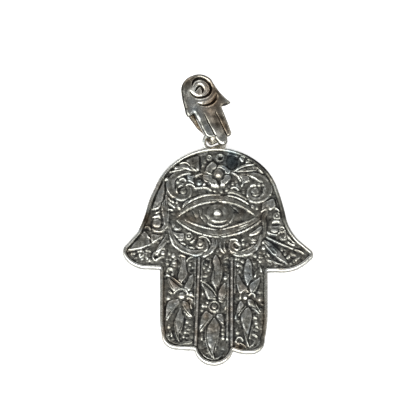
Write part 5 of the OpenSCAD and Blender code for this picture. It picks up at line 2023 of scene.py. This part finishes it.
@dataclass(frozen=True)
class Studio:
    """Pale floor, soft lights and the camera.

    Attributes:
        step: Length of a pixel of the photograph at the hand, in mm.
        pixels: Width of the photograph in pixels.
        centre: Point that the camera looks at, in mm.
        elevation: Height of the camera above the horizon, in degrees.
        lens: Focal length in mm.
        film: Width of the film in mm.
        light_at: Distance of the lights in mm.
        floor_half: Half of the floor's width, in mm.
    """

    step: float = 0.2
    pixels: int = 416
    centre: Row = (-1.6, 1.23, 2.0)
    elevation: float = 77.0
    lens: float = 600.0
    film: float = 36.0
    light_at: float = 260.0
    floor_half: float = 700.0

    def camera(self) -> None:
        """Places the camera so that the photograph's width spans the right length at the hand."""
        data = bpy.data.cameras.new("camera")
        data.lens = self.lens
        data.sensor_width = self.film
        data.clip_start, data.clip_end = 0.01, 10
        camera = linked("camera", data)
        distance = self.pixels * self.step / 2 / (data.sensor_width / 2 / self.lens)
        angle = math.radians(self.elevation)
        back = Vector((0, -math.cos(angle), math.sin(angle)))
        camera.location = (Vector(self.centre) + back * distance) * MM
        camera.rotation_mode = "QUATERNION"
        camera.rotation_quaternion = (-back).to_track_quat("-Z", "Y")
        bpy.context.scene.camera = camera

    def softbox(self, name: str, azimuth: float, elevation: float, size: Row, glow: float,
                colour: Row) -> None:
        """Hangs a rectangular light that faces the pendant.

        Args:
            name: Name of the light.
            azimuth: Direction in degrees, 0 over +X and 90 over +Y.
            elevation: Angle above the horizon in degrees.
            size: Width and height in mm.
            glow: Brightness of its face, where a white floor under an even sky of 1 is 1.
            colour: Colour of the light.
        """
        light = bpy.data.lights.new(name, "AREA")
        light.shape = "RECTANGLE"
        light.size, light.size_y = size[0] * MM, size[1] * MM
        light.energy = glow * math.pi * light.size * light.size_y
        light.color = colour
        obj = linked(name, light)
        a, e = math.radians(azimuth), math.radians(elevation)
        way = Vector((math.cos(a) * math.cos(e), math.sin(a) * math.cos(e), math.sin(e)))
        obj.location = way * self.light_at * MM
        obj.rotation_mode = "QUATERNION"
        obj.rotation_quaternion = way.to_track_quat("Z", "Y")

    def lights(self) -> None:
        """Hangs the softboxes, bright below and above the hand and dimmer at its sides, in a dim room."""
        for row in LIGHTS:
            self.softbox(*row)
        world = bpy.data.worlds.new("soft_room")
        bpy.context.scene.world = world
        world.use_nodes = True
        room = world.node_tree.nodes["Background"]
        room.inputs["Color"].default_value = (0.2, 0.2, 0.2, 1)
        room.inputs["Strength"].default_value = 1

    def floor(self) -> None:
        """Lays a level, pale floor under the pendant, which ends far out of view."""
        n = Nodes("pale_floor")
        shade = n.ramp(n.noise(0.02, 2), ((0.3, (0.93, 0.93, 0.93)), (0.7, (0.95, 0.95, 0.95))))
        reach = self.floor_half * MM
        corners = [(-reach, -reach, 0), (reach, -reach, 0), (reach, reach, 0), (-reach, reach, 0)]
        mesh = bpy.data.meshes.new("floor")
        mesh.from_pydata(corners, [], [(0, 1, 2, 3)])
        mesh.materials.append(n.finish({"Base Color": shade, "Roughness": 0.9, "Emission Color": shade,
                                        "Emission Strength": 0.8}))
        linked("floor", mesh)

    def build(self) -> None:
        """Sets up the camera, the lights and the floor, with plain colours on screen."""
        self.camera()
        self.lights()
        self.floor()
        bpy.context.scene.view_settings.view_transform = "Standard"


def place_piece(piece: bpy.types.Object, finish: bpy.types.Material, node: str) -> None:
    """Dresses a piece and ties it to the frame.

    Args:
        piece: The piece.
        finish: Its material.
        node: The node that it stands for.
    """
    piece.data.materials.append(finish)
    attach(piece, "root")
    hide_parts(node)
    log.info("%s: %d points, %d faces", piece.name, len(piece.data.vertices), len(piece.data.polygons))


def main() -> None:
    """Builds the pendant piece by piece, then the studio."""
    oxidised, polished = OXIDISED.material(), POLISHED.material()
    hand = CastHand()
    ring = SolderedRing(hand)
    bail = Bail(ring)
    place_piece(hand.build(), oxidised, "hand_plate")
    place_piece(ring.build(), polished, "hand_plate")
    place_piece(bail.small_hand(), polished, "bail")
    place_piece(bail.strap(), polished, "bail")
    Studio().build()


if __name__ == "__main__":
    main()
